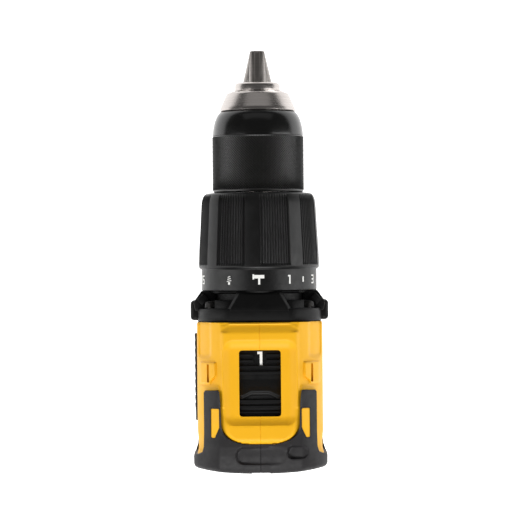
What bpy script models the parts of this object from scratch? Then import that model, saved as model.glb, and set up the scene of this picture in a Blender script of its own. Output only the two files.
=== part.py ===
"""Compact cordless hammer drill with its battery pack, standing on the pack's base.

Units are metres. +Y runs forward along the spindle, +X is the user's right, +Z is up, Z = 0 is the
pack's underside. Sizes below are in millimetres and every length passes through MM once.
"""

import math

import bmesh
import bpy
from mathutils import Matrix, Vector

MM = 0.001

# ---- driving dimensions, millimetres and degrees ----
AXIS_Z = 170.0
GAP = 0.3
WALL = 2.4
SEAM = 0.15

BODY_HALF_W = 25.7
BODY_TOP = 28.5
BODY_BOTTOM = -26.0
TOP_FLAT = 15.5
BODY_FRONT_Y = -25.2
BODY_REAR_Y = -85.45
EAR_HALF_W = 26.1
RUBBER = 1.8

GRIP_HALF_W = 16.5
GRIP_HALF_D = 21.0
GRIP_TOP_Y = -50.0
GRIP_BOTTOM_Y = -58.0
FOOT_Z = 60.0
FOOT_TOP_Z = 77.0
FOOT_HALF_W = 24.5
FOOT_REAR_Y = -80.0
FOOT_FRONT_Y = 13.0

PACK_TOP_Z = 57.7
CASE_TOP_Z = 46.0
PACK_WALL = 2.2
CELL_R = 10.5
CELL_LEN = 70.0
RAIL_HALF_W = 17.6
RAIL_NECK_HALF_W = 14.6
RAIL_TOP_Z = 66.3
CHANNEL_CLEAR = 0.5

TUB_FLOOR = 26.2
TUB_HALF_W = 14.6
WINDOW_W = 17.0
WINDOW_L = 27.0
WINDOW_Y = -50.0
SELECT_TRAVEL = 4.0

MODULE = 0.75
SUN_1 = 15
PLANET_1 = 15
SUN_2 = 9
PLANET_2 = 18
RING = 45
RING_OUT_R = 19.5
CASE_TUBE_IN_R = RING_OUT_R + GAP
CASE_TUBE_OUT_R = 20.9
NECK_R = 16.5
NECK_IN_R = 13.2
FLANGE_FRONT_Y = -16.2
FLANGE_REAR_Y = -24.8

COLLAR_FRONT_Y = 28.0
COLLAR_REAR_Y = -12.1
NUMBER_RING_Y = -3.5
COLLAR_R = 25.0
COLLAR_IN_R = 21.8
COLLAR_RIBS = 8
NUMBER_RING_R = 23.9

SLEEVE_R = 19.0
SLEEVE_IN_R = 17.6
SLEEVE_FRONT_Y = 61.8
NOSE_REAR_R = 15.75
NOSE_FRONT_R = 12.7
NOSE_RING_R = 9.45
NOSE_TIP_Y = 74.0
JAW_TIP_Y = 87.25
JAW_REAR_Y = 52.0
JAW_R = 3.6
JAW_TAPER = 15.0
JAW_AXIS_R = 2.7
JAW_TRAVEL = 19.0

STATOR_R = 19.5
ROTOR_R = 11.9
SHAFT_R = 2.5
TRIGGER_TRAVEL = 7.0
BUTTON_TRAVEL = 3.5

for ob in list(bpy.data.objects):
    bpy.data.objects.remove(ob)

PARTS = bpy.data.collections.new("cordless_drill")
bpy.context.scene.collection.children.link(PARTS)

PAINT = {
    "housing_nylon": ((0.90, 0.48, 0.02), 0.45, 0.0),
    "rubber": ((0.035, 0.032, 0.034), 0.75, 0.0),
    "black_nylon": ((0.012, 0.012, 0.012), 0.4, 0.0),
    "steel": ((0.55, 0.54, 0.53), 0.3, 1.0),
    "dark_steel": ((0.1, 0.1, 0.1), 0.45, 1.0),
    "copper": ((0.7, 0.3, 0.12), 0.35, 1.0),
    "board": ((0.02, 0.15, 0.05), 0.5, 0.0),
    "lens": ((0.8, 0.85, 0.9), 0.1, 0.0),
    "cell_sleeve": ((0.05, 0.2, 0.45), 0.4, 0.0),
}


def material(kind, name):
    """A Principled material of one kind, kept for one named sub-part."""
    colour, rough, metal = PAINT[kind]
    mat = bpy.data.materials.new(name + "_" + kind)
    mat.use_nodes = True
    node = mat.node_tree.nodes["Principled BSDF"]
    node.inputs["Base Color"].default_value = (*colour, 1.0)
    node.inputs["Roughness"].default_value = rough
    node.inputs["Metallic"].default_value = metal
    return mat


def to_object(name, bm):
    """Write a bmesh made in millimetres into a linked object in metres."""
    bmesh.ops.remove_doubles(bm, verts=bm.verts, dist=0.0005)
    bmesh.ops.recalc_face_normals(bm, faces=bm.faces)
    bmesh.ops.scale(bm, vec=(MM, MM, MM), verts=bm.verts)
    mesh = bpy.data.meshes.new(name)
    bm.to_mesh(mesh)
    bm.free()
    ob = bpy.data.objects.new(name, mesh)
    PARTS.objects.link(ob)
    return ob


def bake(ob):
    """Replace an object's mesh by its evaluated one and drop the modifiers."""
    deps = bpy.context.evaluated_depsgraph_get()
    mesh = bpy.data.meshes.new_from_object(ob.evaluated_get(deps))
    ob.modifiers.clear()
    ob.data = mesh
    return ob


def boolean(target, tool, op):
    """Apply one exact Boolean and remove the tool."""
    mod = target.modifiers.new("cut", "BOOLEAN")
    mod.solver = "EXACT"
    mod.operation = op
    mod.object = tool
    bpy.context.view_layer.update()
    bake(target)
    bpy.data.objects.remove(tool)
    return target


def cut(target, tool):
    return boolean(target, tool, "DIFFERENCE")


def join(target, tool):
    return boolean(target, tool, "UNION")


def common(target, tool):
    return boolean(target, tool, "INTERSECT")


def prism(name, points, axis, low, high):
    """A straight prism. Points are (x, z) along Y, (y, z) along X, (x, y) along Z."""
    bm = bmesh.new()
    order = {"X": lambda p, h: (h, p[0], p[1]), "Y": lambda p, h: (p[0], h, p[1]),
             "Z": lambda p, h: (p[0], p[1], h)}[axis]
    face = bm.faces.new([bm.verts.new(order(p, low)) for p in points])
    made = bmesh.ops.extrude_face_region(bm, geom=[face])
    moved = [v for v in made["geom"] if isinstance(v, bmesh.types.BMVert)]
    start = Vector(order((0.0, 0.0), low))
    end = Vector(order((0.0, 0.0), high))
    bmesh.ops.translate(bm, vec=end - start, verts=moved)
    return to_object(name, bm)


def box(name, x, y, z, edge=0.0, segments=2):
    """A box over three (low, high) pairs, its edges rounded by edge."""
    bm = bmesh.new()
    bmesh.ops.create_cube(bm, size=1.0)
    spans = Vector((x[1] - x[0], y[1] - y[0], z[1] - z[0]))
    middle = Vector(((x[0] + x[1]) / 2, (y[0] + y[1]) / 2, (z[0] + z[1]) / 2))
    bmesh.ops.scale(bm, vec=spans, verts=bm.verts)
    bmesh.ops.translate(bm, vec=middle, verts=bm.verts)
    if edge:
        bmesh.ops.bevel(bm, geom=bm.edges[:], offset=edge, segments=segments, profile=0.5,
                        affect="EDGES")
    return to_object(name, bm)


def turned(name, profile, segments=32, centre=(0.0, AXIS_Z)):
    """Turn a closed (radius, y) profile about the line through centre (x, z) along Y."""
    bm = bmesh.new()
    verts = [bm.verts.new((r, 0.0, y)) for r, y in profile]
    for a, b in zip(verts, verts[1:] + verts[:1]):
        if abs(a.co.x) + abs(b.co.x) > 1e-6:
            bm.edges.new((a, b))
    bmesh.ops.scale(bm, vec=(MM, MM, MM), verts=bm.verts)
    mesh = bpy.data.meshes.new(name)
    bm.to_mesh(mesh)
    bm.free()
    ob = bpy.data.objects.new(name, mesh)
    PARTS.objects.link(ob)
    screw = ob.modifiers.new("turn", "SCREW")
    screw.axis = "Z"
    screw.angle = 2 * math.pi
    screw.steps = segments
    screw.render_steps = segments
    screw.use_merge_vertices = True
    screw.merge_threshold = 0.000001
    bpy.context.view_layer.update()
    bake(ob)
    bm = bmesh.new()
    bm.from_mesh(ob.data)
    bmesh.ops.remove_doubles(bm, verts=bm.verts, dist=0.0000005)
    bmesh.ops.dissolve_degenerate(bm, dist=0.0000001, edges=bm.edges[:])
    bmesh.ops.recalc_face_normals(bm, faces=bm.faces)
    turn = Matrix.Rotation(-math.pi / 2, 4, "X")
    bmesh.ops.transform(bm, matrix=turn, verts=bm.verts)
    bmesh.ops.translate(bm, vec=(centre[0] * MM, 0.0, centre[1] * MM), verts=bm.verts)
    bm.to_mesh(ob.data)
    bm.free()
    return ob


def rod(name, start, end, radius, segments=16):
    """A cylinder between two points."""
    a = Vector(start)
    b = Vector(end)
    bm = bmesh.new()
    bmesh.ops.create_cone(bm, cap_ends=True, segments=segments, radius1=radius, radius2=radius,
                          depth=(b - a).length)
    turn = (b - a).to_track_quat("Z", "Y").to_matrix().to_4x4()
    bmesh.ops.transform(bm, matrix=Matrix.Translation((a + b) / 2) @ turn, verts=bm.verts)
    return to_object(name, bm)


def loft(name, rings):
    """A closed skin through rings that all have the same number of points."""
    bm = bmesh.new()
    rows = [[bm.verts.new(p) for p in ring] for ring in rings]
    count = len(rows[0])
    for low, high in zip(rows, rows[1:]):
        for i in range(count):
            j = (i + 1) % count
            bm.faces.new((low[i], low[j], high[j], high[i]))
    bm.faces.new(rows[0])
    bm.faces.new(rows[-1])
    return to_object(name, bm)


def rounded(corners, radius, steps=2):
    """Round every corner of a convex polygon."""
    out = []
    count = len(corners)
    for i in range(count):
        p = Vector(corners[i])
        a = (Vector(corners[i - 1]) - p).normalized()
        b = (Vector(corners[(i + 1) % count]) - p).normalized()
        half = a.angle(b) / 2
        reach = radius / math.tan(half)
        start = p + a * reach
        end = p + b * reach
        for k in range(steps + 1):
            t = k / steps
            q = start * (1 - t) ** 2 + p * 2 * t * (1 - t) + end * t * t
            out.append((q.x, q.y))
    return out


def place(ob, kind, at=(0.0, 0.0, 0.0)):
    """Give a finished piece its material and put its origin on the point at."""
    point = Vector(at) * MM
    ob.data.transform(Matrix.Translation(-point))
    ob.location = point
    ob.data.materials.clear()
    ob.data.materials.append(material(kind, ob.name))
    return ob


# ---- outer body ----
# y, half width, top, bottom, top flat half width, side top, side bottom, bottom flat half width
STATIONS = [
    (BODY_FRONT_Y, 0.0, -2.0, 0.0),
    (-28.9, 0.0, 0.5, 0.0),
    (-32.4, 0.0, 0.5, 0.0),
    (-60.0, 0.0, 0.0, 0.0),
    (-74.0, -0.3, -1.5, 0.5),
    (-80.0, EAR_HALF_W - BODY_HALF_W, -3.0, 2.0),
    (-82.8, EAR_HALF_W - BODY_HALF_W - 0.2, -5.0, 4.0),
    (-84.6, -5.0, -10.0, 9.0),
    (BODY_REAR_Y, -11.0, -16.0, 15.0),
]


def body_ring(y, wide, top, bottom, off):
    """One eight-sided, rounded section of the motor body about the spindle axis."""
    w = BODY_HALF_W + wide + off
    zt = BODY_TOP + top + off
    zb = BODY_BOTTOM + bottom - off
    shrink = w / (BODY_HALF_W + off)
    ft = (TOP_FLAT + off * 0.45) * shrink
    fb = 14.0 * shrink
    st = zt - 15.5 * shrink
    sb = zb + 13.5 * shrink
    corners = [(w, sb), (w, st), (ft, zt), (-ft, zt), (-w, st), (-w, sb), (-fb, zb), (fb, zb)]
    return [(x, y, z + AXIS_Z) for x, z in rounded(corners, 3.0 * shrink)]


def body_solid(name, off):
    """The motor body grown by off."""
    rings = []
    for i, (y, wide, top, bottom) in enumerate(STATIONS):
        rear = i == len(STATIONS) - 1
        front = i == 0
        shift = -off if rear else (off if front and off < 0 else 0.0)
        if i >= len(STATIONS) - 3 and not rear:
            shift = -off * 0.7
        rings.append(body_ring(y - 0.0 + shift, wide, top, bottom, off))
    return loft(name, rings)


GRIP = [(FOOT_Z + 8.0, 1.0, 1.0), (FOOT_TOP_Z, 0.6, 0.8), (96.0, 0.0, 0.0), (120.0, -0.2, 0.0),
        (138.0, 0.6, 1.0), (152.0, 2.0, 3.0)]


def grip_y(z):
    t = (z - FOOT_TOP_Z) / (138.0 - FOOT_TOP_Z)
    t = max(0.0, min(1.0, t))
    return GRIP_BOTTOM_Y + (GRIP_TOP_Y - GRIP_BOTTOM_Y) * t


def grip_solid(name, off):
    """The handle grown by off."""
    rings = []
    for z, wide, deep in GRIP:
        w = GRIP_HALF_W + wide + off
        d = GRIP_HALF_D + deep + off
        cy = grip_y(z)
        corners = [(w, cy - d), (w, cy + d), (-w, cy + d), (-w, cy - d)]
        rings.append([(x, y, z) for x, y in rounded(corners, 9.0 + off * 0.5, 4)])
    return loft(name, rings)


def foot_solid(name, off):
    """The foot slab grown by off."""
    w = FOOT_HALF_W + off
    corners = [(w, FOOT_REAR_Y - off), (w, FOOT_FRONT_Y + off), (-w, FOOT_FRONT_Y + off),
               (-w, FOOT_REAR_Y - off)]
    low = FOOT_Z
    rings = []
    for z, inset in ((low, 0.0), (FOOT_TOP_Z - 3.0 + off, 0.0), (FOOT_TOP_Z + off, 2.0)):
        shape = [(x * (1 - inset / w), y) for x, y in corners]
        rings.append([(x, y, z) for x, y in rounded(shape, 7.0, 3)])
    return loft(name, rings)


def outer(name, off):
    return join(join(body_solid(name, off), grip_solid("tool", off)), foot_solid("tool2", off))


HOUSING_SCREWS = [(-66.0, 139.5), (-69.0, 101.0), (-41.5, 92.0), (-73.0, 71.8), (7.0, 71.8)]
CASE_SCREWS = [(19.6, 16.6), (-19.6, 16.6), (19.6, -16.6), (-19.6, -16.6)]


def housing():
    """Both clamshell halves, hollow, with bosses, channel and openings."""
    shell = outer("shell", 0.0)
    inner = body_solid("inner", -WALL)
    mouth = box("mouth", (-23.2, 23.2), (BODY_FRONT_Y - WALL - 3.0, BODY_FRONT_Y + 1.4),
                (AXIS_Z - 10.2, AXIS_Z + 10.2))
    wide = turned("wide", [(0.0, BODY_FRONT_Y + 2.0), (23.3, BODY_FRONT_Y + 2.0),
                           (23.3, BODY_FRONT_Y - 6.0), (0.0, BODY_FRONT_Y - 6.0)], 40)
    inner = join(inner, mouth)
    inner = join(inner, wide)
    grip = grip_solid("grip", -WALL)
    trim = box("trim", (-40.0, 40.0), (-100.0, 20.0), (FOOT_Z + 9.3, 150.0))
    grip = common(grip, trim)
    inner = join(inner, grip)
    foot = box("footroom", (-FOOT_HALF_W + WALL, FOOT_HALF_W - WALL),
               (FOOT_REAR_Y + WALL, FOOT_FRONT_Y - WALL),
               (FOOT_Z + 8.8, FOOT_TOP_Z - WALL), 1.5, 1)
    inner = join(inner, foot)
    shell = cut(shell, inner)

    # selector tub and window
    tub = prism("tub", [(-31.6, AXIS_Z + 30.2), (-34.9, AXIS_Z + TUB_FLOOR),
                        (-63.9, AXIS_Z + TUB_FLOOR), (-68.2, AXIS_Z + 30.2)], "X",
                -TUB_HALF_W, TUB_HALF_W)
    pad = box("pad", (-16.0, 16.0), (-70.0, -27.5), (AXIS_Z + 24.3, AXIS_Z + TUB_FLOOR - 0.01))
    shell = join(shell, pad)
    shell = cut(shell, tub)
    window = box("window", (-WINDOW_W / 2, WINDOW_W / 2),
                 (WINDOW_Y - WINDOW_L / 2, WINDOW_Y + WINDOW_L / 2),
                 (AXIS_Z + 20.0, AXIS_Z + 32.0))
    shell = cut(shell, window)

    # motor ribs and the rear bearing seat
    for y in (-47.0, -62.0):
        rib = turned("rib", [(STATOR_R + GAP, y - 1.0), (STATOR_R + 2.2, y - 1.0),
                             (STATOR_R + 2.2, y + 1.0), (STATOR_R + GAP, y + 1.0)], 32)
        rib_box = box("ribbox", (-25.0, 25.0), (y - 1.0, y + 1.0), (AXIS_Z - 25.0, AXIS_Z + 12.0))
        hole = rod("hole", (0.0, y - 3.0, AXIS_Z), (0.0, y + 3.0, AXIS_Z), STATOR_R + GAP, 40)
        rib_box = cut(rib_box, hole)
        bpy.data.objects.remove(rib)
        limit = body_solid("limit", -1.0)
        rib_box = common(rib_box, limit)
        shell = join(shell, rib_box)
    seat = turned("seat", [(6.8, -84.4), (9.4, -84.4), (9.4, -77.2), (6.8, -77.2)], 28)
    shell = join(shell, seat)

    # screw bosses
    for x, z in CASE_SCREWS:
        boss = rod("boss", (x, BODY_FRONT_Y - 0.1, AXIS_Z + z), (x, -38.0, AXIS_Z + z), 3.1, 14)
        shell = join(shell, boss)
        hole = rod("hole", (x, -20.0, AXIS_Z + z), (x, -37.0, AXIS_Z + z), 1.9, 12)
        shell = cut(shell, hole)
    for y, z in HOUSING_SCREWS:
        reach = 14.5 if z > 80.0 else 23.4
        boss = rod("boss", (-reach, y, z), (reach, y, z), 3.3, 14)
        shell = join(shell, boss)
        shank = rod("shank", (-9.0, y, z), (30.0, y, z), 1.8, 12)
        shell = cut(shell, shank)
        head = rod("head", (11.4 if z > 80.0 else 19.4, y, z), (32.0, y, z), 2.9, 14)
        shell = cut(shell, head)

    # pack channel, trigger mouth, direction button slots, lens pocket, vents
    side = RAIL_HALF_W + CHANNEL_CLEAR
    neck = RAIL_NECK_HALF_W + CHANNEL_CLEAR
    low = FOOT_Z - 1.0
    lip = 63.0
    top = RAIL_TOP_Z + CHANNEL_CLEAR
    shape = [(-neck, low), (neck, low), (neck, lip), (side, lip), (side, top), (-side, top),
             (-side, lip), (-neck, lip)]
    shell = cut(shell, prism("channel", shape, "Y", -62.0, FOOT_FRONT_Y + 2.0))
    shell = cut(shell, box("mouth2", (-7.2, 7.2), (-45.0, -20.0), (109.2, 135.3)))
    shell = cut(shell, box("slot", (-40.0, 40.0), (-43.5, -34.5), (136.0, 142.6)))
    shell = cut(shell, box("lens", (-4.3, 4.3), (4.0, 10.4), (73.0, 80.0)))
    for k in range(3):
        y = -74.5 + 3.6 * k
        shell = cut(shell, box("vent", (-40.0, 40.0), (y, y + 1.6), (AXIS_Z - 11.0, AXIS_Z - 3.0)))

    right = shell
    left = bpy.data.objects.new("left", shell.data.copy())
    PARTS.objects.link(left)
    right = cut(right, box("half", (-60.0, SEAM), (-120.0, 60.0), (-10.0, 240.0)))
    left = cut(left, box("half", (-SEAM, 60.0), (-120.0, 60.0), (-10.0, 240.0)))
    right.name = "housing_right"
    left.name = "housing_left"
    place(right, "housing_nylon")
    place(left, "housing_nylon")


def overmould():
    """Soft rubber on the rear cap, along both shoulders and around the grip."""
    skin = join(body_solid("skin", RUBBER), grip_solid("tool", RUBBER))
    zone = box("zone", (-40.0, 40.0), (-95.0, -76.6), (AXIS_Z - 40.0, AXIS_Z + 25.2))
    zone = join(zone, box("zone2", (-40.0, 40.0), (-95.0, -63.0), (130.0, AXIS_Z - 14.0)))
    zone = join(zone, box("zone3", (-40.0, 40.0), (-95.0, -45.0), (86.0, 134.0)))
    zone = join(zone, box("zone4", (-40.0, 40.0), (-95.0, -62.0), (125.0, 150.0)))
    for side in (-1, 1):
        spans = sorted((16.6 * side, 23.8 * side))
        zone = join(zone, box("arm", tuple(spans), (-80.0, -53.0), (AXIS_Z + 10.0, AXIS_Z + 34.0)))
    skin = common(skin, zone)
    skin = cut(skin, body_solid("core", GAP))
    skin = cut(skin, grip_solid("core2", GAP))
    for side in (-1, 1):
        spans = sorted((17.4 * side, 21.0 * side))
        skin = cut(skin, box("gap", tuple(spans), (-72.4, -60.2), (AXIS_Z + 8.0, AXIS_Z + 36.0)))
    for y, z in HOUSING_SCREWS[:2]:
        skin = cut(skin, rod("head", (10.0, y, z), (40.0, y, z), 3.4, 14))
    skin = cut(skin, box("vent", (-40.0, 40.0), (-77.0, -60.0), (AXIS_Z - 13.0, AXIS_Z - 2.0)))
    right = skin
    left = bpy.data.objects.new("left", skin.data.copy())
    PARTS.objects.link(left)
    right = cut(right, box("half", (-60.0, SEAM), (-120.0, 60.0), (-10.0, 240.0)))
    left = cut(left, box("half", (-SEAM, 60.0), (-120.0, 60.0), (-10.0, 240.0)))
    right.name = "overmould_right"
    left.name = "overmould_left"
    place(right, "rubber")
    place(left, "rubber")


def gear_case():
    """The black front case: rear tube, flange with ears and hood, shoulder and neck."""
    case = turned("gear_case", [
        (CASE_TUBE_IN_R, -33.0), (CASE_TUBE_OUT_R, -33.0), (CASE_TUBE_OUT_R, -26.0), (22.6, -26.0),
        (22.6, -12.6), (21.3, -12.6), (21.3, -6.0), (NECK_R, -6.0), (NECK_R, 25.0),
        (NECK_IN_R - 2.0, 25.0), (NECK_IN_R - 2.0, 24.2), (NECK_IN_R, 24.2), (NECK_IN_R, -9.0),
        (CASE_TUBE_IN_R, -9.0)], 32)
    rings = [body_ring(FLANGE_REAR_Y, -0.2, -2.2, 0.4, 0.0),
             body_ring(-20.0, -0.2, -2.2, 0.4, 0.0), body_ring(FLANGE_FRONT_Y, -2.6, -4.6, 2.4, 0.0)]
    flange = loft("flange", rings)
    flange = cut(flange, rod("bore", (0.0, -40.0, AXIS_Z), (0.0, 0.0, AXIS_Z), 21.6, 32))
    case = join(case, flange)
    hood = prism("hood", [(-9.6, AXIS_Z + 21.5), (9.6, AXIS_Z + 21.5), (9.6, AXIS_Z + 24.9),
                          (-9.6, AXIS_Z + 24.9)], "Y", -18.0, -13.2)
    case = join(case, hood)
    for side in (-1, 1):
        spans = sorted((23.5 * side, 28.5 * side))
        case = join(case, box("ear", tuple(spans), (-24.3, -16.5), (AXIS_Z - 9.0, AXIS_Z + 9.0), 1.2, 1))
        slot = sorted((19.0 * side, 24.4 * side))
        case = cut(case, box("slot", tuple(slot), (-30.4, -22.8), (AXIS_Z - 1.3, AXIS_Z + 1.3)))
    for x, z in CASE_SCREWS:
        case = cut(case, rod("hole", (x, -30.0, AXIS_Z + z), (x, -10.0, AXIS_Z + z), 1.9, 12))
        case = cut(case, rod("head", (x, -19.4, AXIS_Z + z), (x, -10.0, AXIS_Z + z), 3.0, 14))
    place(case, "black_nylon", (0.0, 0.0, AXIS_Z))
    for i, (x, z) in enumerate(CASE_SCREWS):
        ob = turned(f"gear_case_screw_{i + 1}", [(0.0, -36.4), (1.5, -36.4), (1.5, -19.0),
                                                  (2.7, -19.0), (2.7, -16.6), (0.0, -16.6)], 12,
                    (x, AXIS_Z + z))
        place(ob, "dark_steel", (x, -19.0, AXIS_Z + z))


def gear_ring(teeth, tip, root, tip_half, root_half, phase):
    """Points of a toothed outline, four a tooth, as (x, z) about the origin."""
    out = []
    pitch = 2 * math.pi / teeth
    for k in range(teeth):
        a = phase + k * pitch
        for r, h in ((root, -root_half), (tip, -tip_half), (tip, tip_half), (root, root_half)):
            t = a + h * pitch
            out.append((r * math.cos(t), r * math.sin(t)))
    return out


def spur(name, teeth, y0, y1, phase, bore=0.0, centre=(0.0, AXIS_Z)):
    """An external gear with a round bore."""
    rp = MODULE * teeth / 2
    pts = gear_ring(teeth, rp + 0.75 * MODULE, rp - 1.1 * MODULE, 0.09, 0.25, phase)
    pts = [(x + centre[0], z + centre[1]) for x, z in pts]
    gear = prism(name, pts, "Y", y0, y1)
    if bore:
        gear = cut(gear, rod("bore", (centre[0], y0 - 1, centre[1]),
                             (centre[0], y1 + 1, centre[1]), bore, 12))
    return gear


def internal(name, y0, y1, phase):
    """A ring gear with teeth inside."""
    rp = MODULE * RING / 2
    ring = rod(name, (0.0, y0, AXIS_Z), (0.0, y1, AXIS_Z), RING_OUT_R, 28)
    pts = gear_ring(RING, rp - 0.7 * MODULE, rp + 1.1 * MODULE, 0.09, 0.25, phase)
    pts = [(x, z + AXIS_Z) for x, z in pts]
    return cut(ring, prism("teeth", pts, "Y", y0 - 1.0, y1 + 1.0))


def planet_phases(sun, planet, ring_phase):
    """Phases of three planets and the sun that mesh with a ring at ring_phase."""
    turns = []
    for k in range(3):
        at = math.radians(90 + 120 * k)
        c = (at - ring_phase) * RING / (2 * math.pi)
        turns.append(at - (0.5 + c) * 2 * math.pi / planet)
    at = math.radians(90)
    b = (at + math.pi - turns[0]) * planet / (2 * math.pi)
    sun_phase = at - (0.5 - b) * 2 * math.pi / sun
    return turns, sun_phase


def gearbox():
    """Two planetary stages, the second held by the clutch, the first by the shift ring."""
    stages = ((1, SUN_1, PLANET_1, -31.4, -26.0), (2, SUN_2, PLANET_2, -18.2, -13.0))
    suns = {}
    for number, sun, planet, y0, y1 in stages:
        turns, sun_phase = planet_phases(sun, planet, 0.0)
        suns[number] = sun_phase
        reach = MODULE * (sun + planet) / 2
        for k, letter in enumerate("abc"):
            at = math.radians(90 + 120 * k)
            x = reach * math.cos(at)
            z = AXIS_Z + reach * math.sin(at)
            gear = spur(f"planet_{number}{letter}", planet, y0, y1, turns[k], 2.2, (x, z))
            place(gear, "steel", (x, (y0 + y1) / 2, z))
    rp = MODULE * RING / 2
    ring = internal("ring_gear_1", -32.6, -24.0, 0.0)
    groove = turned("groove", [(18.45, -30.0), (21.0, -30.0), (21.0, -28.0), (18.45, -28.0)], 28)
    place(cut(ring, groove), "steel", (0.0, -29.0, AXIS_Z))
    ring = internal("ring_gear_2", -18.4, -9.4, 0.0)
    place(ring, "steel", (0.0, -14.0, AXIS_Z))

    disc = turned("carrier_1", [(0.0, -25.7), (15.4, -25.7), (15.4, -23.6), (0.0, -23.6)], 24)
    reach = MODULE * (SUN_1 + PLANET_1) / 2
    for k in range(3):
        at = math.radians(90 + 120 * k)
        x = reach * math.cos(at)
        z = AXIS_Z + reach * math.sin(at)
        disc = join(disc, rod("pin", (x, -31.0, z), (x, -25.0, z), 1.9, 10))
    disc = join(disc, spur("sun", SUN_2, -24.0, -13.2, suns[2]))
    place(disc, "steel", (0.0, -25.0, AXIS_Z))

    disc = turned("carrier_2", [(4.5, -12.7), (15.4, -12.7), (15.4, -9.6), (4.5, -9.6)], 24)
    reach = MODULE * (SUN_2 + PLANET_2) / 2
    for k in range(3):
        at = math.radians(90 + 120 * k)
        x = reach * math.cos(at)
        z = AXIS_Z + reach * math.sin(at)
        disc = join(disc, rod("pin", (x, -17.8, z), (x, -12.0, z), 1.9, 10))
    place(disc, "steel", (0.0, -11.0, AXIS_Z))
    return suns[1]


def motor(sun_phase):
    """Stator, rotor with its pinion, fan, bearings and mounting plate."""
    stator = turned("motor_stator", [
        (12.4, -64.0), (12.9, -69.0), (18.2, -69.0), (18.4, -66.0), (STATOR_R, -66.0),
        (STATOR_R, -44.0), (18.4, -44.0), (18.2, -41.0), (12.9, -41.0), (12.4, -46.0)], 28)
    place(stator, "copper", (0.0, -55.0, AXIS_Z))
    rotor = turned("rotor", [
        (0.0, -80.8), (SHAFT_R, -80.8), (SHAFT_R, -67.0), (ROTOR_R, -66.0), (ROTOR_R, -44.0),
        (SHAFT_R, -43.0), (SHAFT_R, -30.0), (0.0, -30.0)], 20)
    rotor = join(rotor, spur("pinion", SUN_1, -31.4, -26.2, sun_phase))
    place(rotor, "dark_steel", (0.0, -55.0, AXIS_Z))
    fan = turned("fan", [(2.8, -76.2), (4.6, -76.2), (4.6, -71.4), (18.0, -71.4), (18.0, -70.2),
                         (2.8, -70.2)], 24)
    for k in range(7):
        t = 2 * math.pi * k / 7
        p = Vector((math.cos(t), math.sin(t)))
        q = Vector((-p.y, p.x)) * 0.6
        pts = [p * 4.2 + q, p * 17.4 + q, p * 17.4 - q, p * 4.2 - q]
        pts = [(v.x, v.y + AXIS_Z) for v in pts]
        fan = join(fan, prism("blade", pts, "Y", -75.8, -71.0))
    place(fan, "black_nylon", (0.0, -73.0, AXIS_Z))
    ring = turned("motor_rear_bearing", [(2.8, -80.6), (6.5, -80.6), (6.5, -76.9), (2.8, -76.9)], 16)
    place(ring, "steel", (0.0, -78.7, AXIS_Z))
    ring = turned("motor_front_bearing", [(2.8, -37.6), (7.6, -37.6), (7.6, -33.6), (2.8, -33.6)], 16)
    place(ring, "steel", (0.0, -35.4, AXIS_Z))
    plate = turned("motor_mount_plate", [(7.9, -36.8), (20.6, -36.8), (20.6, -33.3), (7.9, -33.3)], 24)
    place(plate, "black_nylon", (0.0, -35.0, AXIS_Z))


def shifter():
    """The speed selector plate and the wire bail that carries the shift ring."""
    z = AXIS_Z + 22.85
    plate = box("speed_selector", (-9.6, 9.6), (-70.0, -31.8), (z, z + 1.15))
    crest = prism("crest", [(-57.0, z + 1.0), (-48.6, z + 1.0), (-51.4, z + 4.6), (-54.6, z + 4.6)],
                  "X", -7.4, 7.4)
    plate = join(plate, crest)
    for y in (-36.4, -33.2):
        plate = join(plate, box("prong", (-3.0, 3.0), (y, y + 1.3), (z - 1.5, z + 0.6)))
    place(plate, "black_nylon", (0.0, WINDOW_Y, z))
    wire = 0.7
    bail = 21.9
    path = [Vector((18.95, -29.0, AXIS_Z)), Vector((bail, -29.0, AXIS_Z)),
            Vector((bail, -34.2, AXIS_Z))]
    for k in range(1, 12):
        t = math.pi * k / 12
        path.append(Vector((bail * math.cos(t), -34.2, AXIS_Z + bail * math.sin(t))))
    path += [Vector((-p.x, p.y, p.z)) for p in reversed(path[:3])]
    curve = bpy.data.curves.new("shift_wire", "CURVE")
    curve.dimensions = "3D"
    curve.bevel_depth = wire * MM
    curve.bevel_resolution = 1
    curve.use_fill_caps = True
    line = curve.splines.new("POLY")
    line.points.add(len(path) - 1)
    for p, q in zip(line.points, path):
        p.co = (q.x * MM, q.y * MM, q.z * MM, 1.0)
    ob = bpy.data.objects.new("shift_wire_curve", curve)
    PARTS.objects.link(ob)
    bpy.context.view_layer.update()
    solid = curve_to_mesh(ob, "shift_wire")
    place(solid, "steel", (0.0, -34.2, AXIS_Z))


def curve_to_mesh(ob, name):
    """Turn a curve object into a closed mesh object."""
    deps = bpy.context.evaluated_depsgraph_get()
    mesh = bpy.data.meshes.new_from_object(ob.evaluated_get(deps))
    bpy.data.objects.remove(ob)
    bm = bmesh.new()
    bm.from_mesh(mesh)
    bmesh.ops.remove_doubles(bm, verts=bm.verts, dist=0.000001)
    bmesh.ops.recalc_face_normals(bm, faces=bm.faces)
    bm.to_mesh(mesh)
    bm.free()
    solid = bpy.data.objects.new(name, mesh)
    PARTS.objects.link(solid)
    return solid


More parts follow.
